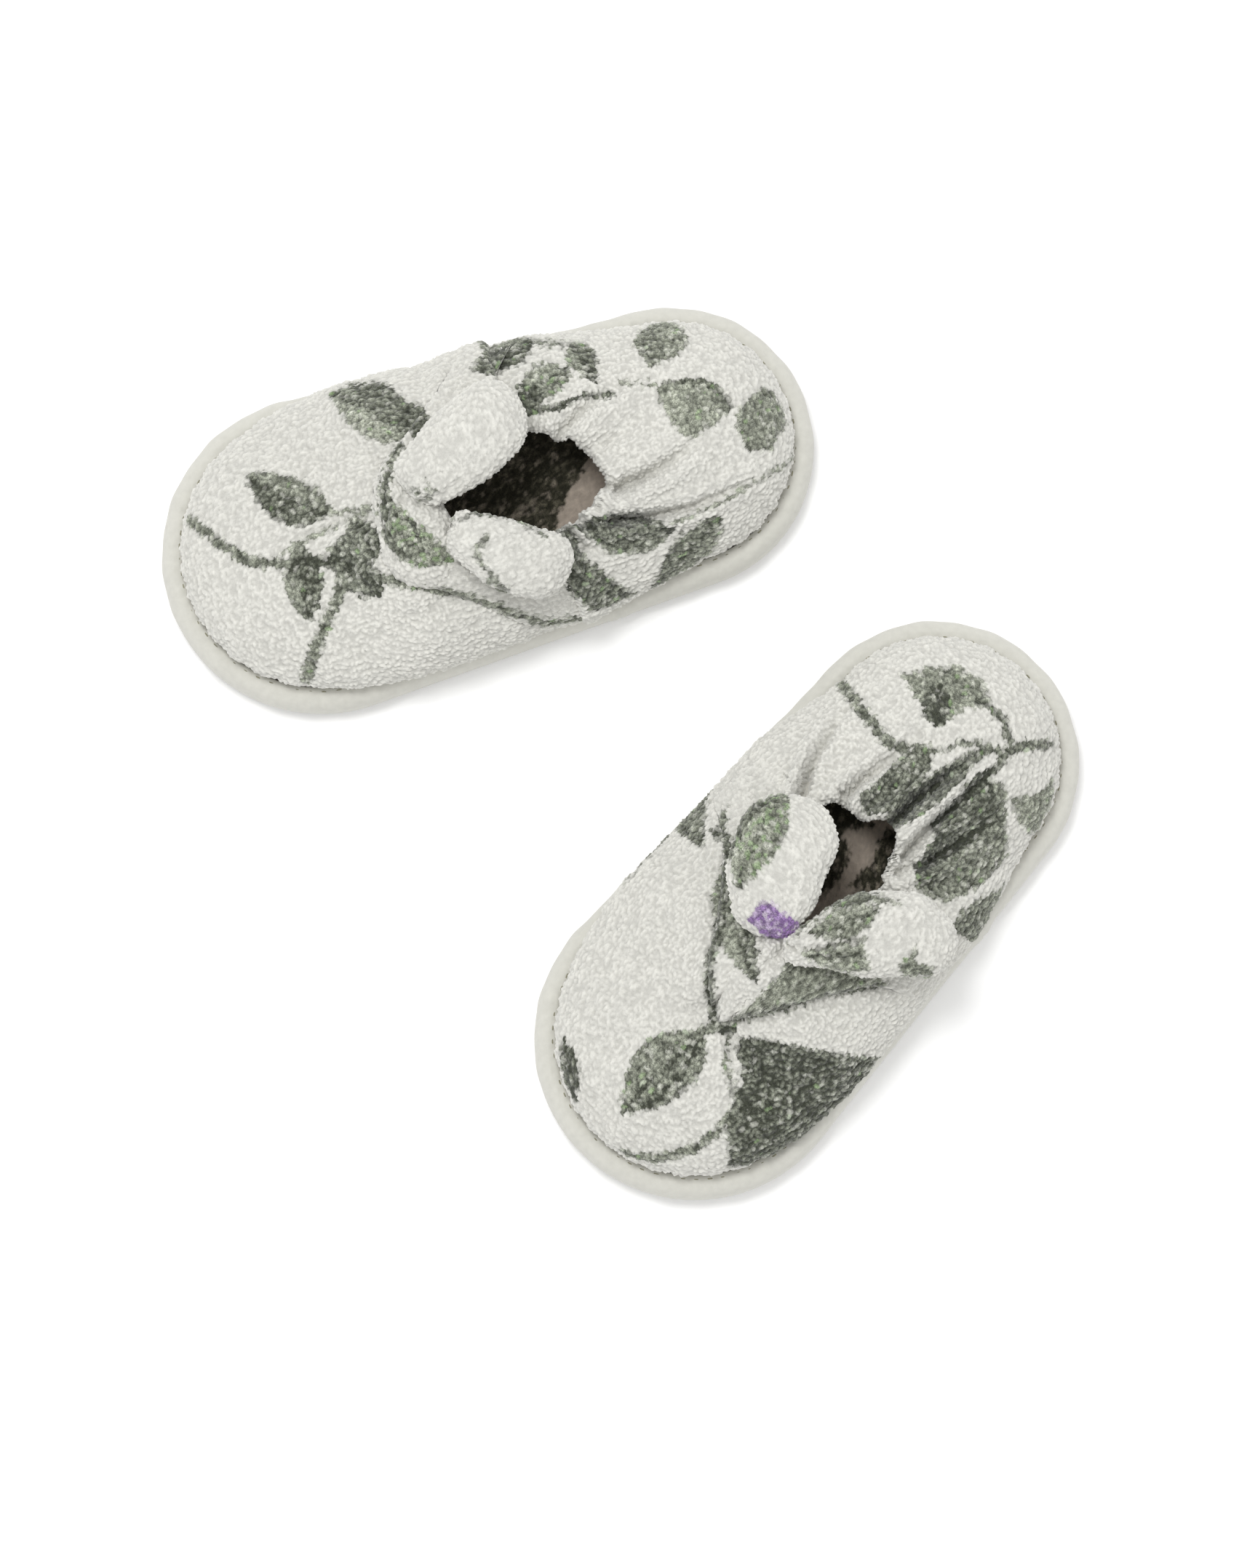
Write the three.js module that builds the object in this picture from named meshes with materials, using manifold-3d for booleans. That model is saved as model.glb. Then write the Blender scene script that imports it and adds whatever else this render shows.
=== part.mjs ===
// A pair of small terry spa slippers with a tied throat. Millimetres, +Z up, soles on z = 0.
// Each slipper is built in its own frame: u runs from heel to toe, v to the wearer's left, z up.
import * as THREE from 'three';
import { mergeVertices } from 'three/addons/utils/BufferGeometryUtils.js';
import Module from 'manifold-3d';

const wasm = await Module();
wasm.setup();
const { lerp, smoothstep, degToRad } = THREE.MathUtils;

// Bound sole outline: two end circles joined by straight sides
const LENGTH = 130;
const TOE_RADIUS = 31;
const HEEL_RADIUS = 27.7;

// Layers of the sole, from the floor up, and the clearance between any two pieces
const OUTSOLE = 1.8;
const OUTSOLE_FLANGE = 0.5;
const PADDING = 3;
const INSOLE = 1.5;
const GAP = 0.3;

// Ease between the sole's layers and the inside of the tape
const LAYER_EASE = 0.5;

// Binding tape folded round the edge
const TAPE = 0.8;
const BINDING_WIDTH = 4.3;
const BINDING_FLOOR_GAP = 0.2;
const BINDING_CORNER = 1.4;

// Cloth of the upper
const TERRY = 1.8;
const LINING = 0.9;
const HEM = 1;
const STRAP = 1.8;
const ELASTIC = 0.8;
const ELASTIC_WIDTH = 6;

// Shape of the upper's outer face
const WALL_HEIGHT = 12;
const THROAT_CREST = 28;
const TOE_CREST = 22.5;
const HEEL_CREST = 25;
const SIDE_BULGE = 4;
const BULGE_MIDDLE = 8;
const BULGE_FLAT = 18;
const BULGE_END = 46;
const WALL_ROUNDNESS = 1;

// Mouth, side seams and tied straps, in plan
const MOUTH = { u: -10, v: 1, halfLength: 14, halfWidth: 10 };
const SIDE_SEAM = -12;
const STRAP_ROOT = { from: -11, to: 6, v: 34 };
const STRAP_TIP = { from: 9, to: 22, v: 4 };

// Knot and ears
const KNOT = { u: 18.5, v: 1.5, halfLength: 6.5, halfWidth: 8, halfHeight: 4.6 };
const KNOT_SINK = 0.4;
const EAR_ROOT_HALF_WIDTH = 4.5;
const EAR_FLATNESS = 0.5;
const EAR_DROOP = degToRad(5);

// Steps round the outline and up the wall
const TOE_STEPS = 7;
const SIDE_STEPS = 5;
const HEEL_STEPS = 6;
const WALL_STEPS = 6;

// Heights and insets that follow from the sizes above
const tapeInside = BINDING_FLOOR_GAP + TAPE;
const flangeBase = tapeInside + GAP;
const outsoleTop = flangeBase + OUTSOLE_FLANGE;
const paddingBase = outsoleTop + GAP;
const insoleBase = paddingBase + PADDING + GAP;
const insoleTop = insoleBase + INSOLE;
const hemBase = insoleTop + GAP;
const hemTop = hemBase + HEM;
const bindingTop = hemTop + GAP + TAPE;
const layerInset = TAPE + GAP + LAYER_EASE;
const lipInset = BINDING_WIDTH + GAP;
const terryInner = -TERRY;
const elasticOuter = terryInner - GAP;
const elasticInner = elasticOuter - ELASTIC;
const liningOuter = elasticInner - GAP;
const liningInner = liningOuter - LINING;
const strapInner = GAP;
const strapOuter = strapInner + STRAP;
const earFloor = strapOuter + GAP;
const tall = 80;

// Materials
const cloth = (color) => new THREE.MeshStandardMaterial({ color, roughness: 0.95, metalness: 0 });
const looks = {
  terry: cloth(0xe1e0d9),
  tape: cloth(0xd2d1c6),
  lining: cloth(0xbfae9f),
  footbed: cloth(0x8c9182),
  canvas: cloth(0xd8d5c8),
  wadding: cloth(0xf2f1ec),
  elastic: cloth(0xf5f5f0),
};

// ---------- Outline ----------

const toeCentre = LENGTH / 2 - TOE_RADIUS;
const heelCentre = HEEL_RADIUS - LENGTH / 2;
const sideAngle = Math.acos((HEEL_RADIUS - TOE_RADIUS) / (toeCentre - heelCentre));

// One station per step round the outline, counter-clockwise from the tip of the toe
function makeStations() {
  const half = [];
  for (let i = 0; i <= TOE_STEPS; i += 1) {
    half.push({ angle: (sideAngle * i) / TOE_STEPS, spine: toeCentre, radius: TOE_RADIUS });
  }
  for (let i = 1; i < SIDE_STEPS; i += 1) {
    const t = i / SIDE_STEPS;
    half.push({
      angle: sideAngle,
      spine: lerp(toeCentre, heelCentre, t),
      radius: lerp(TOE_RADIUS, HEEL_RADIUS, t),
    });
  }
  for (let i = 0; i <= HEEL_STEPS; i += 1) {
    const angle = lerp(sideAngle, Math.PI, i / HEEL_STEPS);
    half.push({ angle, spine: heelCentre, radius: HEEL_RADIUS });
  }
  const otherSide = half.slice(1, -1).reverse().map((s) => ({ ...s, angle: -s.angle }));
  return [...half, ...otherSide];
}

const stations = makeStations();

function atRadius(station, radius, z) {
  const u = station.spine + radius * Math.cos(station.angle);
  return [u, radius * Math.sin(station.angle), z];
}

const insetRing = (inset, z) => stations.map((s) => atRadius(s, s.radius - inset, z));
const spineRing = (z) => stations.map((s) => atRadius(s, 0, z));

// ---------- Solids ----------

function toSolid(geometry) {
  const bare = geometry.clone();
  bare.deleteAttribute('normal');
  bare.deleteAttribute('uv');
  const merged = mergeVertices(bare, 1e-4);
  const index = Array.from(merged.index.array);
  const triangles = [];
  for (let i = 0; i < index.length; i += 3) {
    const [a, b, c] = index.slice(i, i + 3);
    if (a !== b && b !== c && c !== a) triangles.push(a, b, c);
  }
  return new wasm.Manifold(new wasm.Mesh({
    numProp: 3,
    vertProperties: new Float32Array(merged.attributes.position.array),
    triVerts: new Uint32Array(triangles),
  }));
}

function toGeometry(solid) {
  const mesh = solid.getMesh();
  const geometry = new THREE.BufferGeometry();
  geometry.setAttribute('position', new THREE.BufferAttribute(new Float32Array(mesh.vertProperties), 3));
  geometry.setIndex(new THREE.BufferAttribute(new Uint32Array(mesh.triVerts), 1));
  geometry.computeVertexNormals();
  return geometry;
}

// Skins a solid through rings of points. A looped skin joins its last ring to its first.
// Each four-sided patch is split along the diagonal that climbs counter-clockwise, on rising and
// falling spans alike, so that nested faces keep their clearance where the patches twist.
function skin(rings, looped = false) {
  const count = stations.length;
  const index = [];
  const spans = looped ? rings.length : rings.length - 1;
  for (let i = 0; i < spans; i += 1) {
    const next = (i + 1) % rings.length;
    for (let j = 0; j < count; j += 1) {
      const k = (j + 1) % count;
      const here = [i * count + j, i * count + k];
      const there = [next * count + j, next * count + k];
      if (rings[i][j][2] <= rings[next][j][2]) {
        index.push(here[0], here[1], there[1], here[0], there[1], there[0]);
      } else {
        index.push(here[0], here[1], there[0], here[1], there[1], there[0]);
      }
    }
  }
  const geometry = new THREE.BufferGeometry();
  geometry.setAttribute('position', new THREE.Float32BufferAttribute(rings.flat(2), 3));
  geometry.setIndex(index);
  return toSolid(geometry);
}

// An upright prism over a plan shape, used to cut the upper
function prism(shape, low = -1, high = tall) {
  const geometry = new THREE.ExtrudeGeometry(shape, {
    depth: high - low,
    bevelEnabled: false,
    curveSegments: 16,
  });
  return toSolid(geometry.translate(0, 0, low));
}

function mouthPrism(margin) {
  const shape = new THREE.Shape();
  shape.absellipse(MOUTH.u, MOUTH.v, MOUTH.halfLength + margin, MOUTH.halfWidth + margin,
    0, Math.PI * 2);
  return prism(shape);
}

// Everything on the heel side (-1) or toe side (+1) of the side seams
function seamPrism(side) {
  const near = SIDE_SEAM + (side * GAP) / 2;
  const far = side * LENGTH;
  const shape = new THREE.Shape([[near, -LENGTH], [far, -LENGTH], [far, LENGTH], [near, LENGTH]]
    .map(([u, v]) => new THREE.Vector2(u, v)));
  return prism(shape);
}

// ---------- Upper surface ----------

function crest(spine) {
  const end = spine > KNOT.u ? toeCentre : heelCentre;
  const height = spine > KNOT.u ? TOE_CREST : HEEL_CREST;
  return lerp(THROAT_CREST, height, smoothstep((spine - KNOT.u) / (end - KNOT.u), 0, 1));
}

// How far the upper's outer face stands in from the edge at its widest
function wallInset(station) {
  const u = station.spine + station.radius * Math.cos(station.angle);
  const away = Math.abs(u - BULGE_MIDDLE);
  return lipInset - SIDE_BULGE * (1 - smoothstep(away, BULGE_FLAT, BULGE_END));
}

// Rings up the upper, at an offset out from its outer face
function wallRings(offset) {
  const rings = [];
  for (let i = 0; i <= WALL_STEPS; i += 1) {
    const lift = ((Math.PI / 2) * i) / WALL_STEPS;
    const across = i === WALL_STEPS ? 0 : Math.cos(lift) ** WALL_ROUNDNESS;
    const up = Math.sin(lift) ** WALL_ROUNDNESS;
    rings.push(stations.map((s) => {
      const radius = s.radius - wallInset(s) + offset;
      const height = crest(s.spine) - WALL_HEIGHT + offset;
      return atRadius(s, radius * across, WALL_HEIGHT + height * up);
    }));
  }
  return rings;
}

// A cloth dome between two offsets. The hem rings run from the inner face round to the outer face.
function clothDome(inner, outer, hemRings = []) {
  return skin([...wallRings(inner).reverse(), ...hemRings, ...wallRings(outer)]);
}

// A solid filled from the floor up to an offset, used to trim what lies on the upper
function filledDome(offset) {
  const rings = wallRings(offset);
  const foot = rings[0].map(([u, v]) => [u, v, -1]);
  return skin([spineRing(-1), foot, ...rings]);
}

const terryDome = clothDome(terryInner, 0, [
  insetRing(lipInset + GAP + TERRY, bindingTop + GAP),
  insetRing(lipInset + GAP + TERRY, hemBase),
  insetRing(layerInset, hemBase),
  insetRing(layerInset, hemTop),
  insetRing(lipInset + GAP, hemTop),
  insetRing(lipInset + GAP, bindingTop + GAP),
]);
const liningFace = lipInset + GAP + TERRY + GAP;
const liningDome = clothDome(liningInner, liningOuter, [
  insetRing(liningFace + LINING, bindingTop + GAP),
  insetRing(liningFace + LINING, hemBase),
  insetRing(liningFace, hemBase),
  insetRing(liningFace, bindingTop + GAP),
]);
const mouth = mouthPrism(0);
const vampSide = seamPrism(1);
const heelSide = seamPrism(-1);

// ---------- Sole ----------

function outsole() {
  return skin([
    spineRing(0),
    insetRing(lipInset, 0),
    insetRing(lipInset, flangeBase),
    insetRing(layerInset, flangeBase),
    insetRing(layerInset, outsoleTop),
    spineRing(outsoleTop),
  ]);
}

function soleLayer(base, thickness) {
  const top = base + thickness;
  return skin([spineRing(base), insetRing(layerInset, base), insetRing(layerInset, top), spineRing(top)]);
}

function binding() {
  const profile = [
    [BINDING_WIDTH, BINDING_FLOOR_GAP],
    [TAPE, BINDING_FLOOR_GAP],
    [0, BINDING_FLOOR_GAP + BINDING_CORNER],
    [0, bindingTop - BINDING_CORNER],
    [TAPE, bindingTop],
    [BINDING_WIDTH, bindingTop],
    [BINDING_WIDTH, bindingTop - TAPE],
    [TAPE + BINDING_CORNER / 4, bindingTop - TAPE],
    [TAPE, bindingTop - TAPE - BINDING_CORNER],
    [TAPE, tapeInside + BINDING_CORNER],
    [TAPE + BINDING_CORNER / 4, tapeInside],
    [BINDING_WIDTH, tapeInside],
  ];
  return skin(profile.map(([inset, z]) => insetRing(inset, z)), true);
}

// ---------- Straps, elastic, knot and ears ----------

function elasticBand() {
  const ring = mouthPrism(ELASTIC_WIDTH + 1).subtract(mouthPrism(1));
  return clothDome(elasticInner, elasticOuter).intersect(ring).intersect(heelSide);
}

function strap(side) {
  const corners = [
    [STRAP_ROOT.from, STRAP_ROOT.v],
    [STRAP_ROOT.to, STRAP_ROOT.v],
    [STRAP_TIP.to, STRAP_TIP.v],
    [STRAP_TIP.from, STRAP_TIP.v],
  ];
  const shape = new THREE.Shape(corners.map(([u, v]) => new THREE.Vector2(u, side * v)));
  return clothDome(strapInner, strapOuter).intersect(prism(shape)).subtract(mouthPrism(GAP));
}

function knot() {
  const ball = new THREE.SphereGeometry(1, 16, 10);
  ball.scale(KNOT.halfLength, KNOT.halfWidth, KNOT.halfHeight);
  ball.translate(KNOT.u, KNOT.v, THROAT_CREST + earFloor + KNOT.halfHeight * (1 - KNOT_SINK));
  return toSolid(ball).subtract(filledDome(earFloor));
}

const earRootHalfHeight = EAR_ROOT_HALF_WIDTH * EAR_FLATNESS;
const earHingeHeight = THROAT_CREST + earFloor + earRootHalfHeight + GAP;

// A plump petal along +X from a rounded root at the origin, where its hinge is
function petal(length, width) {
  const half = width / 2;
  const root = EAR_ROOT_HALF_WIDTH;
  const profile = [
    [0, -earRootHalfHeight],
    [root * 0.7, -earRootHalfHeight * 0.75],
    [root, 0],
    [lerp(root, half, 0.6), length * 0.25],
    [half, length * 0.58],
    [half * 0.86, length * 0.8],
    [half * 0.5, length * 0.95],
    [0, length],
  ];
  const lathe = new THREE.LatheGeometry(profile.map(([r, x]) => new THREE.Vector2(r, x)), 14);
  lathe.rotateZ(-Math.PI / 2);
  lathe.scale(1, 1, EAR_FLATNESS);
  return lathe;
}

function ear({ u, v, heading, length, width }) {
  const shape = petal(length, width);
  shape.rotateY(EAR_DROOP);
  shape.rotateZ(degToRad(heading));
  shape.translate(u, v, earHingeHeight);
  return toSolid(shape).subtract(filledDome(earFloor));
}

// ---------- Assembly ----------

function addPiece(parent, name, solid, material) {
  const mesh = new THREE.Mesh(toGeometry(solid), material);
  mesh.name = name;
  parent.add(mesh);
}

function makeSlipper({ name, x, y, heading, innerSide, ears }) {
  const slipper = new THREE.Group();
  const sideName = (side) => (side === innerSide ? 'inner' : 'outer');
  const add = (piece, solid, material) => addPiece(slipper, `${name}_${piece}`, solid, material);
  add('outsole', outsole(), looks.canvas);
  add('sole_padding', soleLayer(paddingBase, PADDING), looks.wadding);
  add('insole', soleLayer(insoleBase, INSOLE), looks.footbed);
  add('binding', binding(), looks.tape);
  add('vamp_outer', terryDome.intersect(vampSide).subtract(mouth), looks.terry);
  add('heel_outer', terryDome.intersect(heelSide).subtract(mouth), looks.terry);
  add('vamp_lining', liningDome.intersect(vampSide).subtract(mouth), looks.lining);
  add('heel_lining', liningDome.intersect(heelSide).subtract(mouth), looks.lining);
  add('elastic_band', elasticBand(), looks.elastic);
  for (const side of [1, -1]) {
    add(`${sideName(side)}_strap`, strap(side), looks.terry);
  }
  add('knot', knot(), looks.terry);
  for (const [side, shape] of [[1, ears.left], [-1, ears.right]]) {
    add(`${sideName(side)}_ear`, ear(shape), looks.terry);
  }
  slipper.position.set(x, y, 0);
  slipper.rotation.z = degToRad(heading);
  return slipper;
}

const pair = new THREE.Group();
pair.add(makeSlipper({
  name: 'left',
  x: -26,
  y: 49,
  heading: -162.9,
  innerSide: -1,
  ears: {
    left: { u: 9, v: 6, heading: 143, length: 25, width: 14 },
    right: { u: 9.5, v: -5, heading: 207, length: 23, width: 16 },
  },
}));
pair.add(makeSlipper({
  name: 'right',
  x: 36.4,
  y: -30,
  heading: -131.1,
  innerSide: 1,
  ears: {
    left: { u: 8.5, v: 7.5, heading: 140, length: 26, width: 17 },
    right: { u: 8.5, v: -2, heading: 206, length: 22, width: 19 },
  },
}));

// The pair stands with the middle of its plan on the origin
const extent = new THREE.Box3().setFromObject(pair, true);
const middle = extent.getCenter(new THREE.Vector3());
pair.position.set(-middle.x, -middle.y, 0);

export default pair;
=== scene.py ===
"""Terry spa slippers: the visible model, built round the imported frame.

Every slipper is shaped in its own frame, in millimetres: u runs from heel to toe, v to the wearer's left and
z up from the floor. Mesh makers turn that into metres in the row frame.
"""
import math
from types import SimpleNamespace as Record

import bpy
import numpy as np
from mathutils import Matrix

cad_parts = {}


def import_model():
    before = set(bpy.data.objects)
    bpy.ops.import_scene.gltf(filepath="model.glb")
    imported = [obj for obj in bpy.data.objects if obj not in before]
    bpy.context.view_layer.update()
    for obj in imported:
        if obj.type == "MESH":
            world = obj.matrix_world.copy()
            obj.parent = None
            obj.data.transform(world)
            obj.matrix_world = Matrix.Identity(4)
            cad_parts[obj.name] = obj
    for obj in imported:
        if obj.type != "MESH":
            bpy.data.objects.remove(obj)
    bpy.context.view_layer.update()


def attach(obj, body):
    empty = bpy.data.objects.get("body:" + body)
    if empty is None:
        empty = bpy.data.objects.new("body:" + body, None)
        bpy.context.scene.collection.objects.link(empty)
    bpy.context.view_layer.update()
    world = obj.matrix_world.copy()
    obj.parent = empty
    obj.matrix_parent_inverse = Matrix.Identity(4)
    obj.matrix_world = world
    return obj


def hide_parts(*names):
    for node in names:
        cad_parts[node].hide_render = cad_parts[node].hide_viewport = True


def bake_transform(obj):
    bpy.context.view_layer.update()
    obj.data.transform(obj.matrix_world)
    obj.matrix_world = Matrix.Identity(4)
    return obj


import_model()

# ---------------------------------------------------------------- sizes, in millimetres

LENGTH, TOE_RADIUS, HEEL_RADIUS = 130.0, 31.0, 27.7

BINDING_WIDTH = 4.3
LAYER_INSET = 1.6
OUTSOLE_FACE = 1.3
PADDING_BASE, PADDING_TOP = 2.1, 5.1
INSOLE_BASE, INSOLE_FACE = 5.4, 6.7

THROAT_U = 18.5
WALL, THROAT_CREST, TOE_CREST, HEEL_CREST = 12.0, 28.0, 22.5, 25.0
HEM_GAP = 0.25
BULGE, BULGE_MIDDLE, BULGE_FLAT, BULGE_END = 3.5, 2, 16, 44
TUCK, TUCK_SLOPE, TUCK_TURN = 6.5, 0.68, 3.4
ROLL, CASING, CLOTH = 1.9, 4.5, 1.8
LINING_OFFSET = -3.4
VAMP_LAP = 5.0

STITCH_PITCH, STITCH_INSET = 3.0, 3.55
TAPE_JOINT = (-18, 29)

# How high the camera sees the listed edges of each part.
RIM_HEIGHT, STRAP_HEIGHT, KNOT_HEIGHT, KNOT_MIDDLE_HEIGHT = 25.5, 24, 30, 33

# ---------------------------------------------------------------- the camera, in millimetres

CAMERA_DISTANCE, CAMERA_AIM, VIEW_HEIGHT, SENSOR = 1500.0, (1.52, -5.91), 305.1, 36.0
CAMERA_TILT = math.radians(83.0)
CAMERA_WAY = np.array([0, math.cos(CAMERA_TILT), -math.sin(CAMERA_TILT)])
CAMERA_UP = np.array([0, math.sin(CAMERA_TILT), math.cos(CAMERA_TILT)])
CAMERA_PLACE = np.array([*CAMERA_AIM, 0]) - CAMERA_DISTANCE * CAMERA_WAY

# ---------------------------------------------------------------- the sole's arcs, and two blends

TOE_CENTRE = LENGTH / 2 - TOE_RADIUS
HEEL_CENTRE = HEEL_RADIUS - LENGTH / 2
SIDE_ANGLE = math.acos((HEEL_RADIUS - TOE_RADIUS) / (TOE_CENTRE - HEEL_CENTRE))


def smooth(x, low, high):
    """0 below low, 1 above high and a smooth step between."""
    t = np.clip((x - low) / (high - low), 0, 1)
    return t * t * (3 - 2 * t)


def mix(a, b, t):
    return a + (b - a) * t


# ---------------------------------------------------------------- outline of the sole

def outline_keys():
    """Where each arc and side of the sole's edge starts, with its spine point, direction and radius."""
    side = math.sqrt((TOE_CENTRE - HEEL_CENTRE) ** 2 - (TOE_RADIUS - HEEL_RADIUS) ** 2)
    toe, heel = TOE_RADIUS * SIDE_ANGLE, HEEL_RADIUS * (math.pi - SIDE_ANGLE)
    lengths = np.cumsum([0, toe, side, 2 * heel, side, toe])
    spines = [TOE_CENTRE, TOE_CENTRE, HEEL_CENTRE, HEEL_CENTRE, TOE_CENTRE, TOE_CENTRE]
    turn = 2 * math.pi
    angles = [0, SIDE_ANGLE, SIDE_ANGLE, turn - SIDE_ANGLE, turn - SIDE_ANGLE, turn]
    radii = [TOE_RADIUS, TOE_RADIUS, HEEL_RADIUS, HEEL_RADIUS, TOE_RADIUS, TOE_RADIUS]
    return lengths, spines, angles, radii


KEY_LENGTHS, KEY_SPINES, KEY_ANGLES, KEY_RADII = outline_keys()
PERIMETER = float(KEY_LENGTHS[-1])


def outline(along):
    """Spine point, direction and radius of the sole's edge at a distance along it from the tip of the toe."""
    s = np.mod(along, PERIMETER)
    return (np.interp(s, KEY_LENGTHS, KEY_SPINES), np.interp(s, KEY_LENGTHS, KEY_ANGLES),
            np.interp(s, KEY_LENGTHS, KEY_RADII))


def edge_point(along, inset=0.0):
    """The plan point of the sole's edge at a distance along it, or inside it by an inset."""
    spine, angle, radius = outline(along)
    return spine + (radius - inset) * np.cos(angle), (radius - inset) * np.sin(angle)


def edge_distance(u, v):
    """Distance round the edge, from the tip of the toe, of the edge point nearest a plan point."""
    along = np.linspace(0, PERIMETER, 2000)
    x, y = edge_point(along)
    return float(along[np.argmin(np.hypot(x - u, y - v))])


def polar(u, v):
    """Spine point, direction, edge radius and distance from the spine of a plan point."""
    away = np.abs(v)
    at_toe = np.arctan2(away, u - TOE_CENTRE)
    at_heel = np.arctan2(away, u - HEEL_CENTRE)
    side_distance = away / math.sin(SIDE_ANGLE)
    side_spine = np.clip(u - side_distance * math.cos(SIDE_ANGLE), HEEL_CENTRE, TOE_CENTRE)
    toe, heel = at_toe <= SIDE_ANGLE, at_heel >= SIDE_ANGLE
    spine = np.where(toe, TOE_CENTRE, np.where(heel, HEEL_CENTRE, side_spine))
    angle = np.where(toe, at_toe, np.where(heel, at_heel, SIDE_ANGLE)) * np.where(v < 0, -1, 1)
    share = (spine - HEEL_CENTRE) / (TOE_CENTRE - HEEL_CENTRE)
    radius = mix(HEEL_RADIUS, TOE_RADIUS, share)
    distance = np.where(toe | heel, np.hypot(u - spine, v), side_distance)
    return spine, angle, radius, distance


# ---------------------------------------------------------------- the upper's outer face

def crest(spine):
    """The upper's height along its middle: highest at the throat."""
    toe_side = smooth(spine, THROAT_U, TOE_CENTRE) * (TOE_CREST - THROAT_CREST)
    heel_side = smooth(-spine, -THROAT_U, -HEEL_CENTRE) * (HEEL_CREST - THROAT_CREST)
    return THROAT_CREST + toe_side + heel_side


def wall_inset(spine, angle, radius):
    """How far the upper's wall stands in from the sole's edge. It bulges out amidships."""
    u = spine + radius * np.cos(angle)
    return BINDING_WIDTH - HEM_GAP - BULGE * (1 - smooth(np.abs(u - BULGE_MIDDLE), BULGE_FLAT, BULGE_END))


def upper(u, v, offset=0.0):
    """The upper's face over a plan point. Plan points past the wall run on down it and in under the tape."""
    spine, angle, radius, distance = polar(u, v)
    wall = radius - wall_inset(spine, angle, radius) + offset
    share = np.clip(distance / wall, 0, 1)
    z = WALL + (crest(spine) + offset - WALL) * np.sqrt(1 - share ** 2)
    past = np.clip(distance - wall, 0, TUCK)
    hem = radius - BINDING_WIDTH - HEM_GAP + np.minimum(offset, 0)
    r = np.where(past > 0, mix(wall, hem, smooth(past, 0, TUCK_TURN)), distance)
    z = np.where(past > 0, WALL - past * TUCK_SLOPE, z)
    return np.stack([spine + r * np.cos(angle), r * np.sin(angle), z], -1)


# ---------------------------------------------------------------- grids

def normals_of(grid, wrap=False):
    """Unit normals of a grid of points, rows first."""
    if wrap:
        across = np.roll(grid, -1, 1) - np.roll(grid, 1, 1)
    else:
        across = np.gradient(grid, axis=1)
    along = np.gradient(grid, axis=0)
    n = np.cross(along, across)
    return n / np.maximum(np.linalg.norm(n, axis=-1, keepdims=True), 1e-9)


def evenly(paths, rows, density=None):
    """Each column of paths (samples, columns, 3), spaced evenly, or closer where density is higher."""
    steps = np.linalg.norm(np.diff(paths, axis=0), axis=-1)
    if density is not None:
        steps = steps * density[1:, None]
    travelled = np.concatenate([np.zeros((1, paths.shape[1])), np.cumsum(steps, 0)])
    travelled /= travelled[-1]
    out = np.empty((rows, paths.shape[1], 3))
    wanted = np.linspace(0, 1, rows)
    for j in range(paths.shape[1]):
        for k in range(3):
            out[:, j, k] = np.interp(wanted, travelled[:, j], paths[:, j, k])
    return out


def spline(points, count, closed=False):
    """A smooth curve through given points (Catmull-Rom)."""
    p = np.array(points, float)
    n = len(p)
    spans = n if closed else n - 1
    t = np.linspace(0, spans, count, endpoint=not closed)
    i = np.minimum(t.astype(int), spans - 1)
    f = (t - i)[:, None]

    def at(k):
        return p[k % n] if closed else p[np.clip(k, 0, n - 1)]

    a, b, c, d = at(i - 1), at(i), at(i + 1), at(i + 2)
    return 0.5 * (2 * b + (c - a) * f + (2 * a - 5 * b + 4 * c - d) * f ** 2 + (3 * b - a - 3 * c + d) * f ** 3)


# ---------------------------------------------------------------- terry loops

def scramble(*parts):
    """A repeatable random number from 0 to 1 for each set of whole numbers."""
    h = np.zeros(np.broadcast(*parts).shape, np.uint32)
    for part in parts:
        h = (h ^ np.asarray(part).astype(np.int64).astype(np.uint32)) * np.uint32(0x85EBCA6B)
        h ^= h >> np.uint32(13)
        h = h * np.uint32(0xC2B2AE35)
        h ^= h >> np.uint32(16)
    return h.astype(float) / 2 ** 32


LOOP_PITCH = 0.85
LOOP_LONG, LOOP_WIDE = 0.77, 0.26
LOOP_TILT = 0.6


def loops(points, seed):
    """The terry pile at each point: height from 0 to 1, the loop's own place, and a random number per loop."""
    flat = points.reshape(-1, 3)
    cell = np.floor(flat / LOOP_PITCH).astype(np.int64)
    best = np.full(len(flat), -1.0)
    place = np.zeros_like(flat)
    chance = np.zeros(len(flat))
    for dx in (-1, 0, 1):
        for dy in (-1, 0, 1):
            for dz in (-1, 0, 1):
                c = cell + (dx, dy, dz)
                r = [scramble(c[:, 0], c[:, 1], c[:, 2], seed * 8 + k) for k in range(6)]
                centre = (c + 0.15 + 0.7 * np.stack(r[:3], -1)) * LOOP_PITCH
                turn, tilt = 2 * math.pi * r[3], LOOP_TILT * (r[4] - 0.5)
                lie = np.stack([np.cos(turn) * np.cos(tilt), np.sin(turn) * np.cos(tilt), np.sin(tilt)], -1)
                away = flat - centre
                along = (away * lie).sum(-1)
                across2 = (away ** 2).sum(-1) - along ** 2
                height = np.exp(-(along ** 2 / LOOP_LONG + across2 / LOOP_WIDE)) * (0.74 + 0.26 * r[5])
                closer = height > best
                best = np.where(closer, height, best)
                place = np.where(closer[:, None], centre, place)
                chance = np.where(closer, r[5], chance)
    shape = points.shape[:-1]
    return best.reshape(shape), place.reshape(points.shape), chance.reshape(shape)


# ---------------------------------------------------------------- the print

def srgb(*values):
    c = np.array(values, float) / 255
    return np.where(c <= 0.04045, c / 12.92, ((c + 0.055) / 1.055) ** 2.4)


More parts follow.
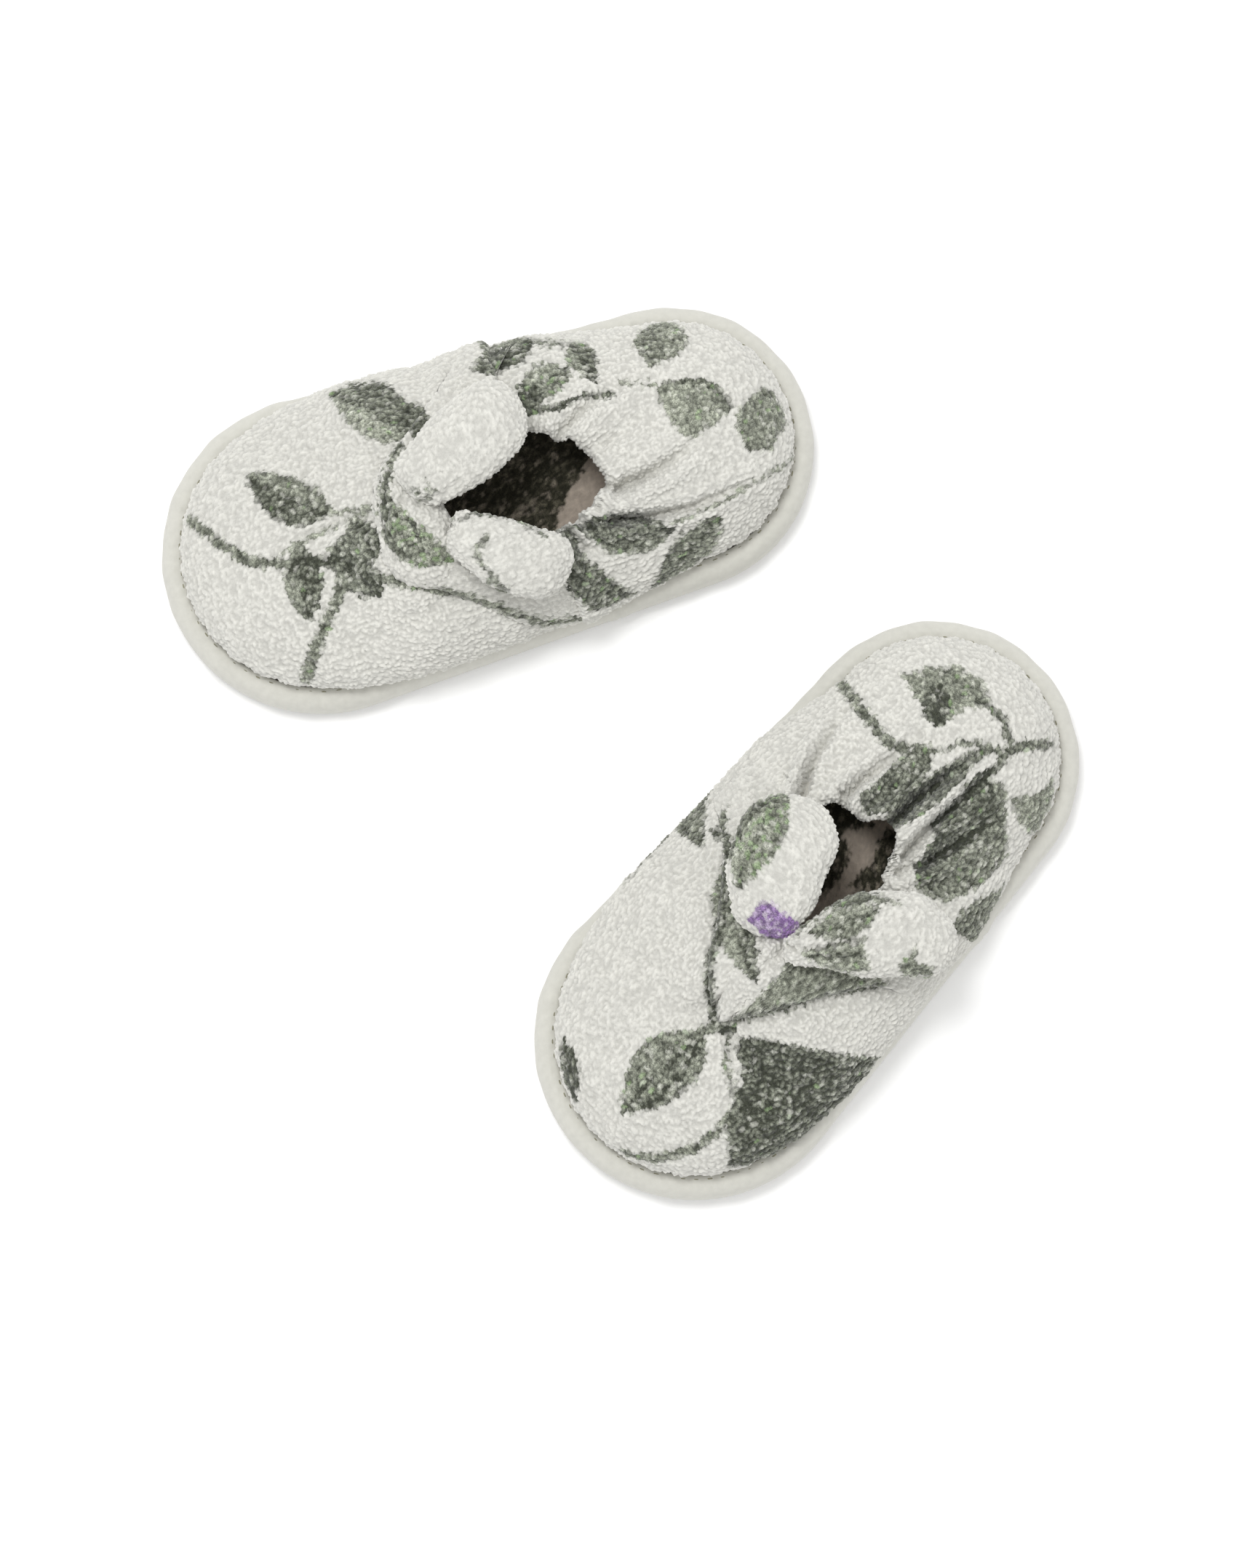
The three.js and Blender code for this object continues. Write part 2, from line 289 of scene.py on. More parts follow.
COTTON = srgb(215, 214, 207)
INK_DARK, INK_PALE = srgb(56, 59, 48), srgb(176, 180, 164)
INK_GREEN, INK_PURPLE = srgb(128, 150, 108), srgb(130, 102, 150)
# Painted shade: a warm darkening laid on the footbed's cloth for the shade inside the mouth.
FOOTBED_PAINTED_SHADE = srgb(228, 214, 204)


def leaf(base, tip, width, belly=0.45, bend=0.0, tone=(0.25, 0.7), green=0.02):
    return Record(kind="leaf", base=base, tip=tip, width=width, belly=belly, bend=bend,
                  tone=tone, green=green,
                  purple=False)


def stem(*points, width=1.2, tone=0.15):
    return Record(kind="stem", points=points, width=width, tone=tone, green=0.01, purple=False)


def patch(*points, tone=0.35, purple=False, green=0.015):
    return Record(kind="patch", points=points, tone=tone, purple=purple, green=green)


def segment_distance(p, a, b):
    a, b = np.array(a, float), np.array(b, float)
    along = np.clip(((p - a) @ (b - a)) / max(float((b - a) @ (b - a)), 1e-9), 0, 1)
    return np.linalg.norm(p - a - along[..., None] * (b - a), axis=-1)


def shape_cover(mark, p):
    """How far inside a mark each point is, in millimetres, and the ink's tone there."""
    if mark.kind == "leaf":
        base, tip = np.array(mark.base, float), np.array(mark.tip, float)
        long = float(np.linalg.norm(tip - base))
        axis = (tip - base) / long
        x = (p - base) @ axis / long
        y = (p - base) @ np.array([-axis[1], axis[0]])
        inside = np.clip(x, 0, 1)
        y = y - mark.bend * 4 * inside * (1 - inside)
        half = mark.width / 2 * np.sin(math.pi * inside ** (math.log(0.5) / math.log(mark.belly))) ** 0.85
        over = np.maximum(-x, x - 1) * long
        depth = np.where(over > 0, -np.hypot(over, y), half - np.abs(y))
        side = smooth(y / mark.width, -0.25, 0.25)
        rib = np.exp(-(y / 0.45) ** 2) * 0.35
        rim = np.exp(-(np.maximum(depth, 0) / 0.7) ** 2) * 0.22
        return depth, mix(mark.tone[0], mark.tone[1], side) - rib - rim
    if mark.kind == "stem":
        d = np.min([segment_distance(p, a, b) for a, b in zip(mark.points, mark.points[1:])], axis=0)
        return mark.width / 2 - d, np.full(p.shape[:-1], mark.tone)
    corners = np.array(mark.points, float)
    after = np.roll(corners, -1, 0)
    d = np.min([segment_distance(p, a, b) for a, b in zip(corners, after)], axis=0)
    crossings = np.zeros(p.shape[:-1], int)
    for (ax, ay), (bx, by) in zip(corners, after):
        spans = (ay > p[..., 1]) != (by > p[..., 1])
        slope = (bx - ax) / (by - ay) if by != ay else 0.0
        crossings += spans & (p[..., 0] < ax + (p[..., 1] - ay) * slope)
    return np.where(crossings % 2 == 1, d, -d), np.full(p.shape[:-1], mark.tone)


def dye_and_shade_loops(marks, place, chance, height):
    """The cloth's colour and ink cover, loop by loop, from the printed marks at each loop's place, with a
    painted shade darkening each loop towards its foot.
    """
    depth = np.full(place.shape[:-1], -9.0)
    tone, purple, green = (np.zeros(place.shape[:-1]) for _ in range(3))
    for mark in marks:
        inside, shade = shape_cover(mark, place)
        wins = inside > np.minimum(depth, 0)
        depth = np.maximum(inside, depth)
        tone = np.where(wins, shade, tone)
        purple = np.where(wins, float(mark.purple), purple)
        green = np.where(wins, mark.green, green)
    other = scramble((chance * 1e6).astype(np.int64), 7)
    ragged = depth + 0.55 * (chance - 0.5)
    cover = smooth(ragged, -0.25, 0.35) * mix(1.0, 0.72, smooth(chance, 0.86, 0.95))
    # Ink tone: the print's tone with a random spread per loop, plus a painted shade that makes the ink paler
    # towards each loop's top and darker in the gaps.
    ink_tone_and_loop_shade = np.clip(0.12 + 0.9 * tone + 0.3 * (chance - 0.5) + 0.7 * (height - 0.7), 0, 1)[..., None]
    ink = mix(INK_DARK, INK_PALE, ink_tone_and_loop_shade)
    ink = np.where((other < 1.4 * green)[..., None], mix(ink, INK_GREEN, 0.6), ink)
    label = mix(INK_PURPLE, COTTON, 0.3 * smooth(other, 0.5, 1.0)[..., None]) * (0.75 + 0.4 * chance[..., None])
    ink = np.where(purple[..., None] > 0, label, ink)
    white = COTTON * (0.96 + 0.06 * chance[..., None])
    # Painted shade: every loop is darkened towards its foot, standing in for the shade that loops cast on each
    # other.
    painted_loop_shade = (0.76 + 0.24 * smooth(height, 0.25, 0.85))[..., None]
    return np.concatenate([mix(white, ink, cover[..., None]) * painted_loop_shade, cover[..., None]], -1)


# ---------------------------------------------------------------- folds

LIP_AT, LIP_SPREAD = 2.2, 1.5
CREASE_NEAR, CREASE_FAR = 3, 7


def crease(*points, depth, width, lip, skew=0.5):
    """A groove along given points, deepest at its start, with the cloth raised beside it."""
    return Record(points=points, depth=depth, width=width, lip=lip, skew=skew)


def crease_relief(c, p):
    """How far a crease raises or lowers the cloth at each point."""
    nearest = np.full(p.shape[:-1], 1e9)
    side = np.zeros(p.shape[:-1])
    share = np.zeros(p.shape[:-1])
    corners = np.array(c.points, float)
    steps = np.linalg.norm(np.diff(corners, axis=0), axis=1)
    before, total = np.concatenate([[0], np.cumsum(steps)]), steps.sum()
    for k, (a, b) in enumerate(zip(corners, corners[1:])):
        way = (b - a) / steps[k]
        along = np.clip((p - a) @ way, 0, steps[k])
        away = p - a - along[..., None] * way
        d = np.linalg.norm(away, axis=-1)
        wins = d < nearest
        nearest = np.where(wins, d, nearest)
        side = np.where(wins, way[0] * away[..., 1] - way[1] * away[..., 0], side)
        share = np.where(wins, (before[k] + along) / total, share)
    s = np.where(side < 0, -nearest, nearest)
    w = c.width
    strength = mix(1.0, 0.15, share) * (1 - smooth(nearest, CREASE_NEAR * w, CREASE_FAR * w))
    groove = -c.depth * np.exp(-(s / w) ** 2)
    left = c.lip * c.skew * 2 * np.exp(-((s - LIP_AT * w) / (LIP_SPREAD * w)) ** 2)
    right = c.lip * (1 - c.skew) * 2 * np.exp(-((s + LIP_AT * w) / (LIP_SPREAD * w)) ** 2)
    return (groove + left + right) * strength


def ripple(p, seed, size):
    """Slow unevenness of soft cloth."""
    out = np.zeros(p.shape[:-1])
    for k in range(7):
        r = [float(scramble(np.array(seed), np.array(k), np.array(m))) for m in range(3)]
        wave = 2 * math.pi / mix(9.0, 26.0, r[0])
        turn = 2 * math.pi * r[1]
        out = out + np.sin(wave * (p[..., 0] * math.cos(turn) + p[..., 1] * math.sin(turn)) + 6.28 * r[2])
    return out * size / 7 ** 0.5


# ---------------------------------------------------------------- meshes

def grid_faces(rows, columns, base=0, wrap_rows=False, wrap_columns=False, flip=False):
    """The four-sided faces of a grid of vertices, counted row by row from base."""
    i = np.arange(rows if wrap_rows else rows - 1)[:, None]
    j = np.arange(columns if wrap_columns else columns - 1)[None, :]
    i2, j2 = (i + 1) % rows, (j + 1) % columns
    corners = [i * columns + j, i2 * columns + j, i2 * columns + j2, i * columns + j2]
    if flip:
        corners = corners[::-1]
    return np.stack([base + c for c in np.broadcast_arrays(*corners)], -1).reshape(-1, 4)


def zip_edges(a, b):
    """Triangles between two runs of vertices that start and end side by side."""
    faces, i, j = [], 0, 0
    while i < len(a) - 1 or j < len(b) - 1:
        if j == len(b) - 1 or (i < len(a) - 1 and (i + 1) / (len(a) - 1) <= (j + 1) / (len(b) - 1)):
            faces.append((a[i], a[i + 1], b[j]))
            i += 1
        else:
            faces.append((a[i], b[j + 1], b[j]))
            j += 1
    return faces


def make_mesh(name, points, quads, triangles=(), colour=None):
    """A mesh object from points in metres. Its faces are turned outward."""
    quads = np.asarray(quads, np.int64).reshape(-1, 4)
    triangles = np.asarray(triangles, np.int64).reshape(-1, 3)
    a, b, c = (points[quads[:, k]] for k in (0, 1, 2))
    d = points[quads[:, 3]]
    volume = (np.einsum("ij,ij->i", a, np.cross(b, c)) + np.einsum("ij,ij->i", a, np.cross(c, d))).sum()
    if len(triangles):
        a, b, c = (points[triangles[:, k]] for k in (0, 1, 2))
        volume += np.einsum("ij,ij->i", a, np.cross(b, c)).sum()
    if volume < 0:
        quads, triangles = quads[:, ::-1], triangles[:, ::-1]
    mesh = bpy.data.meshes.new(name)
    mesh.vertices.add(len(points))
    mesh.vertices.foreach_set("co", points.astype(np.float32).ravel())
    corners = np.concatenate([quads.ravel(), triangles.ravel()]).astype(np.int32)
    starts = np.concatenate([np.arange(len(quads)) * 4, len(quads) * 4 + np.arange(len(triangles)) * 3])
    mesh.loops.add(len(corners))
    mesh.loops.foreach_set("vertex_index", corners)
    mesh.polygons.add(len(starts))
    mesh.polygons.foreach_set("loop_start", starts.astype(np.int32))
    mesh.update(calc_edges=True)
    mesh.polygons.foreach_set("use_smooth", np.full(len(starts), True))
    if colour is not None:
        # The ink attribute holds the cloth's colour: the print, and the painted shade between the loops.
        ink = mesh.attributes.new("ink", "FLOAT_COLOR", "POINT")
        ink.data.foreach_set("color", np.asarray(colour, np.float32).ravel())
    mesh.validate()
    thing = bpy.data.objects.new(name, mesh)
    bpy.context.scene.collection.objects.link(thing)
    return thing


def world(s, points):
    """Points of a slipper's own frame, in millimetres, as metres in the row frame."""
    h = math.radians(s.heading)
    turn = np.array([[math.cos(h), math.sin(h), 0], [-math.sin(h), math.cos(h), 0], [0, 0, 1]])
    return (points.reshape(-1, 3) @ turn + np.array([s.origin[0], s.origin[1], 0])) / 1000


def shell(s, name, outer, inner, outer_colour=None):
    """A closed piece from an outer and an inner grid. Their four borders are joined."""
    rows, columns = outer.shape[:2]
    back_rows, back_columns = inner.shape[:2]
    base = rows * columns
    front = np.arange(base).reshape(rows, columns)
    back = base + np.arange(back_rows * back_columns).reshape(back_rows, back_columns)
    quads = np.concatenate([
        grid_faces(rows, columns),
        grid_faces(back_rows, back_columns, base, flip=True)])
    triangles = zip_edges(front[0], back[0]) + zip_edges(front[-1][::-1], back[-1][::-1])
    triangles += zip_edges(front[::-1, 0], back[::-1, 0]) + zip_edges(front[:, -1], back[:, -1])
    points = np.concatenate([outer.reshape(-1, 3), inner.reshape(-1, 3)])
    colour = None
    if outer_colour is not None:
        plain = np.broadcast_to((*COTTON, 0.0), (back_rows * back_columns, 4))
        colour = np.concatenate([outer_colour.reshape(-1, 4), plain])
    return make_mesh(name, world(s, points), quads, triangles, colour)


def tube(s, name, grid, colour=None):
    """A closed piece from rings of points. Each end ring closes on its own middle."""
    rows, columns = grid.shape[:2]
    count = rows * columns
    points = np.concatenate([grid.reshape(-1, 3), grid[0].mean(0)[None], grid[-1].mean(0)[None]])
    j = np.arange(columns)
    k = (j + 1) % columns
    last = (rows - 1) * columns
    triangles = np.concatenate([
        np.stack([np.full(columns, count), j, k], -1),
        np.stack([np.full(columns, count + 1), last + k, last + j], -1)])
    if colour is not None:
        colour = np.concatenate([colour.reshape(-1, 4), colour[0].mean(0)[None], colour[-1].mean(0)[None]])
    return make_mesh(name, world(s, points), grid_faces(rows, columns, wrap_columns=True), triangles, colour)


# ---------------------------------------------------------------- materials

def material(name, base, roughness, sheen, bump, tint, ink=False, strength=0.3):
    """Cloth: its base colour or its ink with fine mottling, and a bump made by the given node recipe."""
    m = bpy.data.materials.new(name)
    m.use_nodes = True
    nodes, links = m.node_tree.nodes, m.node_tree.links
    shader = nodes["Principled BSDF"]
    shader.inputs["Roughness"].default_value = roughness
    shader.inputs["Specular IOR Level"].default_value = 0.2
    shader.inputs["Sheen Weight"].default_value = sheen
    shader.inputs["Sheen Roughness"].default_value = 0.6
    where = nodes.new("ShaderNodeTexCoord").outputs["Object"]

    def noise(scale, detail=3.0, twist=0.0):
        n = nodes.new("ShaderNodeTexNoise")
        n.inputs["Scale"].default_value = scale
        n.inputs["Detail"].default_value = detail
        n.inputs["Distortion"].default_value = twist
        links.new(where, n.inputs["Vector"])
        return n.outputs["Fac"]

    shade = nodes.new("ShaderNodeMapRange")
    shade.inputs["From Min"].default_value, shade.inputs["From Max"].default_value = 0.3, 0.7
    shade.inputs["To Min"].default_value, shade.inputs["To Max"].default_value = 1 - tint, 1 + tint * 0.4
    links.new(noise(1500, 3.0, 2.2) if ink else noise(700), shade.inputs["Value"])
    scaled = nodes.new("ShaderNodeVectorMath")
    scaled.operation = "SCALE"
    if ink:
        source = nodes.new("ShaderNodeAttribute")
        source.attribute_name = "ink"
        links.new(source.outputs["Color"], scaled.inputs[0])
        for end, white, printed in (("To Min", 1 - tint, 0.45), ("To Max", 1 + tint * 0.4, 1.75)):
            spread = nodes.new("ShaderNodeMapRange")
            spread.inputs["To Min"].default_value, spread.inputs["To Max"].default_value = white, printed
            links.new(source.outputs["Alpha"], spread.inputs["Value"])
            links.new(spread.outputs["Result"], shade.inputs[end])
    else:
        scaled.inputs[0].default_value = tuple(base)
    links.new(shade.outputs["Result"], scaled.inputs["Scale"])
    links.new(scaled.outputs["Vector"], shader.inputs["Base Color"])
    dent = nodes.new("ShaderNodeBump")
    dent.inputs["Strength"].default_value = strength
    dent.inputs["Distance"].default_value = 0.0004
    height = bump(Record(nodes=nodes, links=links, noise=noise, where=where))
    links.new(height, dent.inputs["Height"])
    links.new(dent.outputs["Normal"], shader.inputs["Normal"])
    return m


def fibres(kit):
    return kit.noise(2600, 2.0)


def weave(pitch):
    """Threads crossing both ways, laid on the bias of the piece."""
    def build(kit):
        waves = []
        for turn in (45, -45):
            spun = kit.nodes.new("ShaderNodeMapping")
            spun.inputs["Rotation"].default_value = (0, 0, math.radians(turn))
            kit.links.new(kit.where, spun.inputs["Vector"])
            wave = kit.nodes.new("ShaderNodeTexWave")
            wave.inputs["Scale"].default_value = 1 / pitch / 20
            wave.inputs["Distortion"].default_value = 1.5
            wave.inputs["Detail"].default_value = 1.0
            kit.links.new(spun.outputs["Vector"], wave.inputs["Vector"])
            waves.append(wave.outputs["Fac"])
        both = kit.nodes.new("ShaderNodeMath")
        both.operation = "MULTIPLY"
        kit.links.new(waves[0], both.inputs[0])
        kit.links.new(waves[1], both.inputs[1])
        return both.outputs[0]

    return build


LOOKS = {
    "terry": material("terry", COTTON, 1.0, 0.25, ink=True, bump=fibres, tint=0.10, strength=0.35),
    "footbed": material("footbed", COTTON, 1.0, 0.2, ink=True, bump=fibres, tint=0.10, strength=0.35),
    "tape": material("tape", srgb(196, 195, 187), 0.85, 0.15, bump=weave(0.0003), tint=0.05, strength=0.25),
    # The lining's pale pinkish beige is partly its own colour and partly a painted warm shade for the inside of
    # the mouth.
    "lining": material("lining", srgb(214, 198, 188), 0.95, 0.1, bump=weave(0.0004), tint=0.08),
    "canvas": material("canvas", srgb(216, 213, 200), 0.9, 0.0, bump=weave(0.0007), tint=0.08, strength=0.5),
    "wadding": material("wadding", srgb(242, 241, 236), 1.0, 0.1, bump=fibres, tint=0.06),
    "elastic": material("elastic", srgb(212, 210, 203), 0.7, 0.0, bump=weave(0.0005), tint=0.04),
    "thread": material("thread", srgb(138, 136, 116), 0.8, 0.1, bump=fibres, tint=0.2),
}


def finish_piece(s, piece, look, node=None, rides=True):
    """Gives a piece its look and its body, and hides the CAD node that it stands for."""
    piece.data.materials.append(LOOKS[look])
    if rides:
        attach(piece, f"{s.name}_slipper")
    if node:
        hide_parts(f"{s.name}_{node}")
    return piece


# ---------------------------------------------------------------- terry finish

STEP = 0.32
PILE, FOOTBED_PILE = 1.0, 0.4
RUN_DOWN_FROM, RUN_DOWN_MOST, RUN_DOWN_SHARE = 15, 12, 0.7


def turned(s, points, back=False):
    """Plan points turned from a slipper's own frame to the row frame's directions, or back."""
    h = math.radians(s.heading) * (1 if back else -1)
    return points @ np.array([[math.cos(h), -math.sin(h)], [math.sin(h), math.cos(h)]])


def on_floor(s, points):
    """Where the camera sees each point, on the plane that it is aimed at, in the slipper's own plan."""
    plan = turned(s, points[..., :2]) + np.array(s.origin)
    away = np.concatenate([plan, points[..., 2:3]], -1) - CAMERA_PLACE
    depth = away @ CAMERA_WAY
    seen = np.stack([away[..., 0], away @ CAMERA_UP], -1) * (CAMERA_DISTANCE / depth)[..., None]
    return turned(s, seen + np.array(CAMERA_AIM) - np.array(s.origin), back=True)


def lifted(s, points, height):
    """Plan points that the camera sees at the given places, at a height."""
    seen = turned(s, np.array(points, float)) + np.array(s.origin) - np.array(CAMERA_AIM)
    line = CAMERA_DISTANCE * CAMERA_WAY + seen[..., :1] * np.array([1.0, 0, 0]) + seen[..., 1:] * CAMERA_UP
    plan = CAMERA_PLACE + line * ((height - CAMERA_PLACE[2]) / line[..., 2:])
    return turned(s, plan[..., :2] - np.array(s.origin), back=True)


def print_place(s, points):
    """Where the print is read for a point. On steep walls the cloth carries it on down."""
    _, angle, _, _ = polar(points[..., 0], points[..., 1])
    outward = np.stack([np.cos(angle), np.sin(angle)], -1)
    down = np.clip(RUN_DOWN_FROM - points[..., 2], 0, RUN_DOWN_MOST)
    return on_floor(s, points) + outward * (down * RUN_DOWN_SHARE)[..., None]


def terry(s, grid, marks, seed, pile=PILE, wrap=False, outward=None, where=print_place):
    """Raises the loops on a grid and colours them with their print and a painted shade between the loops.
    Returns the new grid and its colours.
    """
    n = normals_of(grid, wrap)
    if outward is not None:
        n = n * np.sign((n * outward).sum(-1).sum())
    height, place, chance = loops(grid, seed)
    cloth = grid + n * (pile * (height - 0.6))[..., None]
    colour = dye_and_shade_loops(marks, where(s, place), chance, height)
    return cloth, colour


# ---------------------------------------------------------------- upper

CASING_ROWS, ROLL_ROWS, FACE_ROWS, TUCK_ROWS = 7, 25, 160, 24
HEM_FROM, HEM_TO = 0.82, 0.97
SEAM_ROUND, SEAM_NEAR, SEAM_FAR, SEAM_DROP = 1.6, 1.5, 11, 1.5
DEEPEST_RIM = -2.2
BACK_STEP, BACK_ROWS = 1.6, 30
LINING_STEP, LINING_ROWS = 1.0, 60

def rays(s, along):
    """Straight plan lines from the middle of the mouth to the wall, one for each distance along the edge."""
    spine, angle, radius = outline(along)
    wall = radius - wall_inset(spine, angle, radius)
    foot = np.stack([spine + wall * np.cos(angle), wall * np.sin(angle)], -1) - s.centre
    reach = np.linalg.norm(foot, axis=1)
    way = foot / reach[:, None]
    rim = spline(lifted(s, s.rim, RIM_HEIGHT), 720, closed=True) - s.centre
    turn = np.arctan2(rim[:, 1], rim[:, 0])
    order = np.argsort(turn)
    facing = np.arctan2(way[:, 1], way[:, 0])
    edge = np.interp(facing, turn[order], np.hypot(*rim.T)[order], period=2 * math.pi)
    edge = edge + 0.35 * np.sin(9 * facing + s.seed) + 0.25 * np.sin(17 * facing + 2 * s.seed)
    return Record(way=way, reach=reach, edge=edge, spine=spine, angle=angle, radius=radius, wall=wall)


def over(s, r, distance, offset=0.0):
    """Points of the upper at distances out along the rays."""
    plan = s.centre + distance[..., None] * r.way
    return upper(plan[..., 0], plan[..., 1], offset)


def tucked(r, past, offset=0.0):
    """Points below the wall, where the cloth turns in under the tape."""
    distance = r.wall + offset + past
    return upper(r.spine + distance * np.cos(r.angle), distance * np.sin(r.angle), offset)


def outer_face(s, r, rows):
    """The cloth from inside the rolled rim, over the rim and out, down the wall and in under the tape."""
    samples = []
    density = np.repeat([0.4, 0.8, 1.0, 0.4], [CASING_ROWS, ROLL_ROWS, FACE_ROWS, TUCK_ROWS])
    for x in np.linspace(1, 0, CASING_ROWS + 1)[:-1]:
        samples.append(over(s, r, r.edge + ROLL + CASING * x) - (0, 0, 2 * ROLL))
    for turn in np.linspace(-90, 90, ROLL_ROWS):
        t = math.radians(turn)
        at = over(s, r, r.edge + ROLL - ROLL * math.cos(t))
        samples.append(at + (0, 0, ROLL * (math.sin(t) - 1)))
    for x in np.linspace(0, 1, FACE_ROWS + 1)[1:]:
        distance = mix(r.edge + ROLL, r.reach, 1 - (1 - x) ** 2.2)
        samples.append(over(s, r, distance))
    for past in np.linspace(0, TUCK, TUCK_ROWS + 1)[1:]:
        samples.append(tucked(r, past))
    return evenly(np.stack(samples), rows, density)


def inner_face(s, r, rows, near, offset):
    """The back of the cloth, from a distance outside the rim down to the hem."""
    samples = [over(s, r, mix(r.edge + near, r.reach - 0.4, 1 - (1 - x) ** 2.0), offset)
               for x in np.linspace(0, 0.96, 60)]
    samples += [tucked(r, past, offset) for past in np.linspace(0, TUCK, 10)]
    return evenly(np.stack(samples), rows)


def span(start, end, step):
    """Distances from start to end, about a step apart."""
    count = max(int(abs(end - start) / step), 8) + 1
    return np.linspace(start, end, count)


def sunk(s, grid):
    """A layer under the cloth, let down where the cloth is folded in."""
    seen = on_floor(s, grid)
    folds = sum(crease_relief(c, seen) for c in s.creases)
    return grid + np.minimum(folds, 0)[..., None] * (0, 0, 1)


def dented(grid, n, out):
    """The cloth's move where it is folded: along its normals, but as one roll from the rim to its top."""
    rows = np.arange(len(grid))[:, None]
    top = np.argmax(np.where(rows < len(grid) // 2, grid[..., 2], 0), axis=0)
    at_top = np.maximum(np.take_along_axis(out, top[None], 0), DEEPEST_RIM) * smooth(rows / top, 0, 0.6)
    blend = smooth(rows - top, 0, 6)
    straight = np.stack([0 * out, 0 * out, np.broadcast_to(at_top, out.shape)], -1)
    return mix(straight, n * out[..., None], blend[..., None])


def rounded_off(distance, radius):
    """From 0 at an edge to 1 a radius inside it, as a quarter circle."""
    return np.sqrt(np.clip(1 - (1 - np.clip(distance / radius, 0, 1)) ** 2, 0, 1))


def seam_rise(along, start, end, lift):
    """How far a part's two ends stand over the part beside it, rounded off at the very edge."""
    ends = np.minimum(along - start, end - along)
    rounded = rounded_off(ends, SEAM_ROUND)
    rise = np.where(along - start < end - along, *lift) * (1 - smooth(ends, SEAM_NEAR, SEAM_FAR)) * rounded
    return rise - (SEAM_DROP * (1 - rounded) if max(lift) else 0)


def upper_part(s, name, start, end, marks, seed, seam_lift, node):
    """One part of the upper between two distances along the edge. seam_lift raises its two ends."""
    along = span(start, end, STEP * 1.25)
    r = rays(s, along)
    longest = float((r.reach - r.edge).max()) + 20
    grid = outer_face(s, r, int(longest / STEP))
    n = normals_of(grid)
    seen = on_floor(s, grid)
    out = ripple(seen, seed, 0.35) + seam_rise(along, start, end, seam_lift)
    for c in s.creases:
        out = out + crease_relief(c, seen)
    down = np.linspace(0, 1, len(grid))[:, None]
    hem = smooth(down, HEM_FROM, HEM_TO)
    pucker = 0.16 * np.sin(2 * math.pi * along / 6.3 + 1.7 * np.sin(along / 11)) * hem
    grid = grid + dented(grid, n, out * (1 - hem) + pucker)
    cloth, colour = terry(s, grid, marks, seed)
    back = span(start, end, BACK_STEP)
    inner = sunk(s, inner_face(s, rays(s, back), BACK_ROWS, ROLL + CASING, -CLOTH))
    inner[..., 2] += seam_rise(back, start, end, seam_lift)
    piece = shell(s, f"{s.name}_{name}", cloth, inner, colour)
    finish_piece(s, piece, "terry", node)
    return piece


def lining_part(s, name, start, end, node):
    """The lining of one part of the upper, between two distances along the edge."""
    r = rays(s, span(start, end, LINING_STEP))
    near = ROLL + CASING + 0.4
    outer, inner = (sunk(s, inner_face(s, r, LINING_ROWS, near, LINING_OFFSET + x)) for x in (0.2, -0.7))
    return finish_piece(s, shell(s, f"{s.name}_{name}", outer, inner), "lining", node)


def elastic(s, start, end):
    """The flat elastic in the heel's casing, just under the rolled rim."""
    r = rays(s, span(start + 3, end - 3, LINING_STEP))
    faces = []
    for offset in (-1.5, -2.3):
        rows = [over(s, r, r.edge + ROLL + x) + (0, 0, offset) for x in np.linspace(-0.6, CASING - 0.6, 9)]
        faces.append(sunk(s, np.stack(rows)))
    return finish_piece(s, shell(s, f"{s.name}_elastic", *faces), "elastic", "elastic_band")


# ---------------------------------------------------------------- straps, knot and ears

STRAP_LIFT, STRAP_CLOTH, STRAP_UNDER = 0.25, 1.75, 0.15
STRAP_ROUND = 1.5
STEEP_MARGIN = 1.6


def above_wall(path):
    """A plan path with its start cut back to where the upper's side is no longer steep."""
    spine, angle, radius, distance = polar(path[:, 0], path[:, 1])
    inside = distance < radius - wall_inset(spine, angle, radius) - STEEP_MARGIN
    kept = path[np.argmax(inside):]
    share = np.linspace(0, len(kept) - 1, len(path))
    return np.stack([np.interp(share, np.arange(len(kept)), kept[:, k]) for k in (0, 1)], -1)


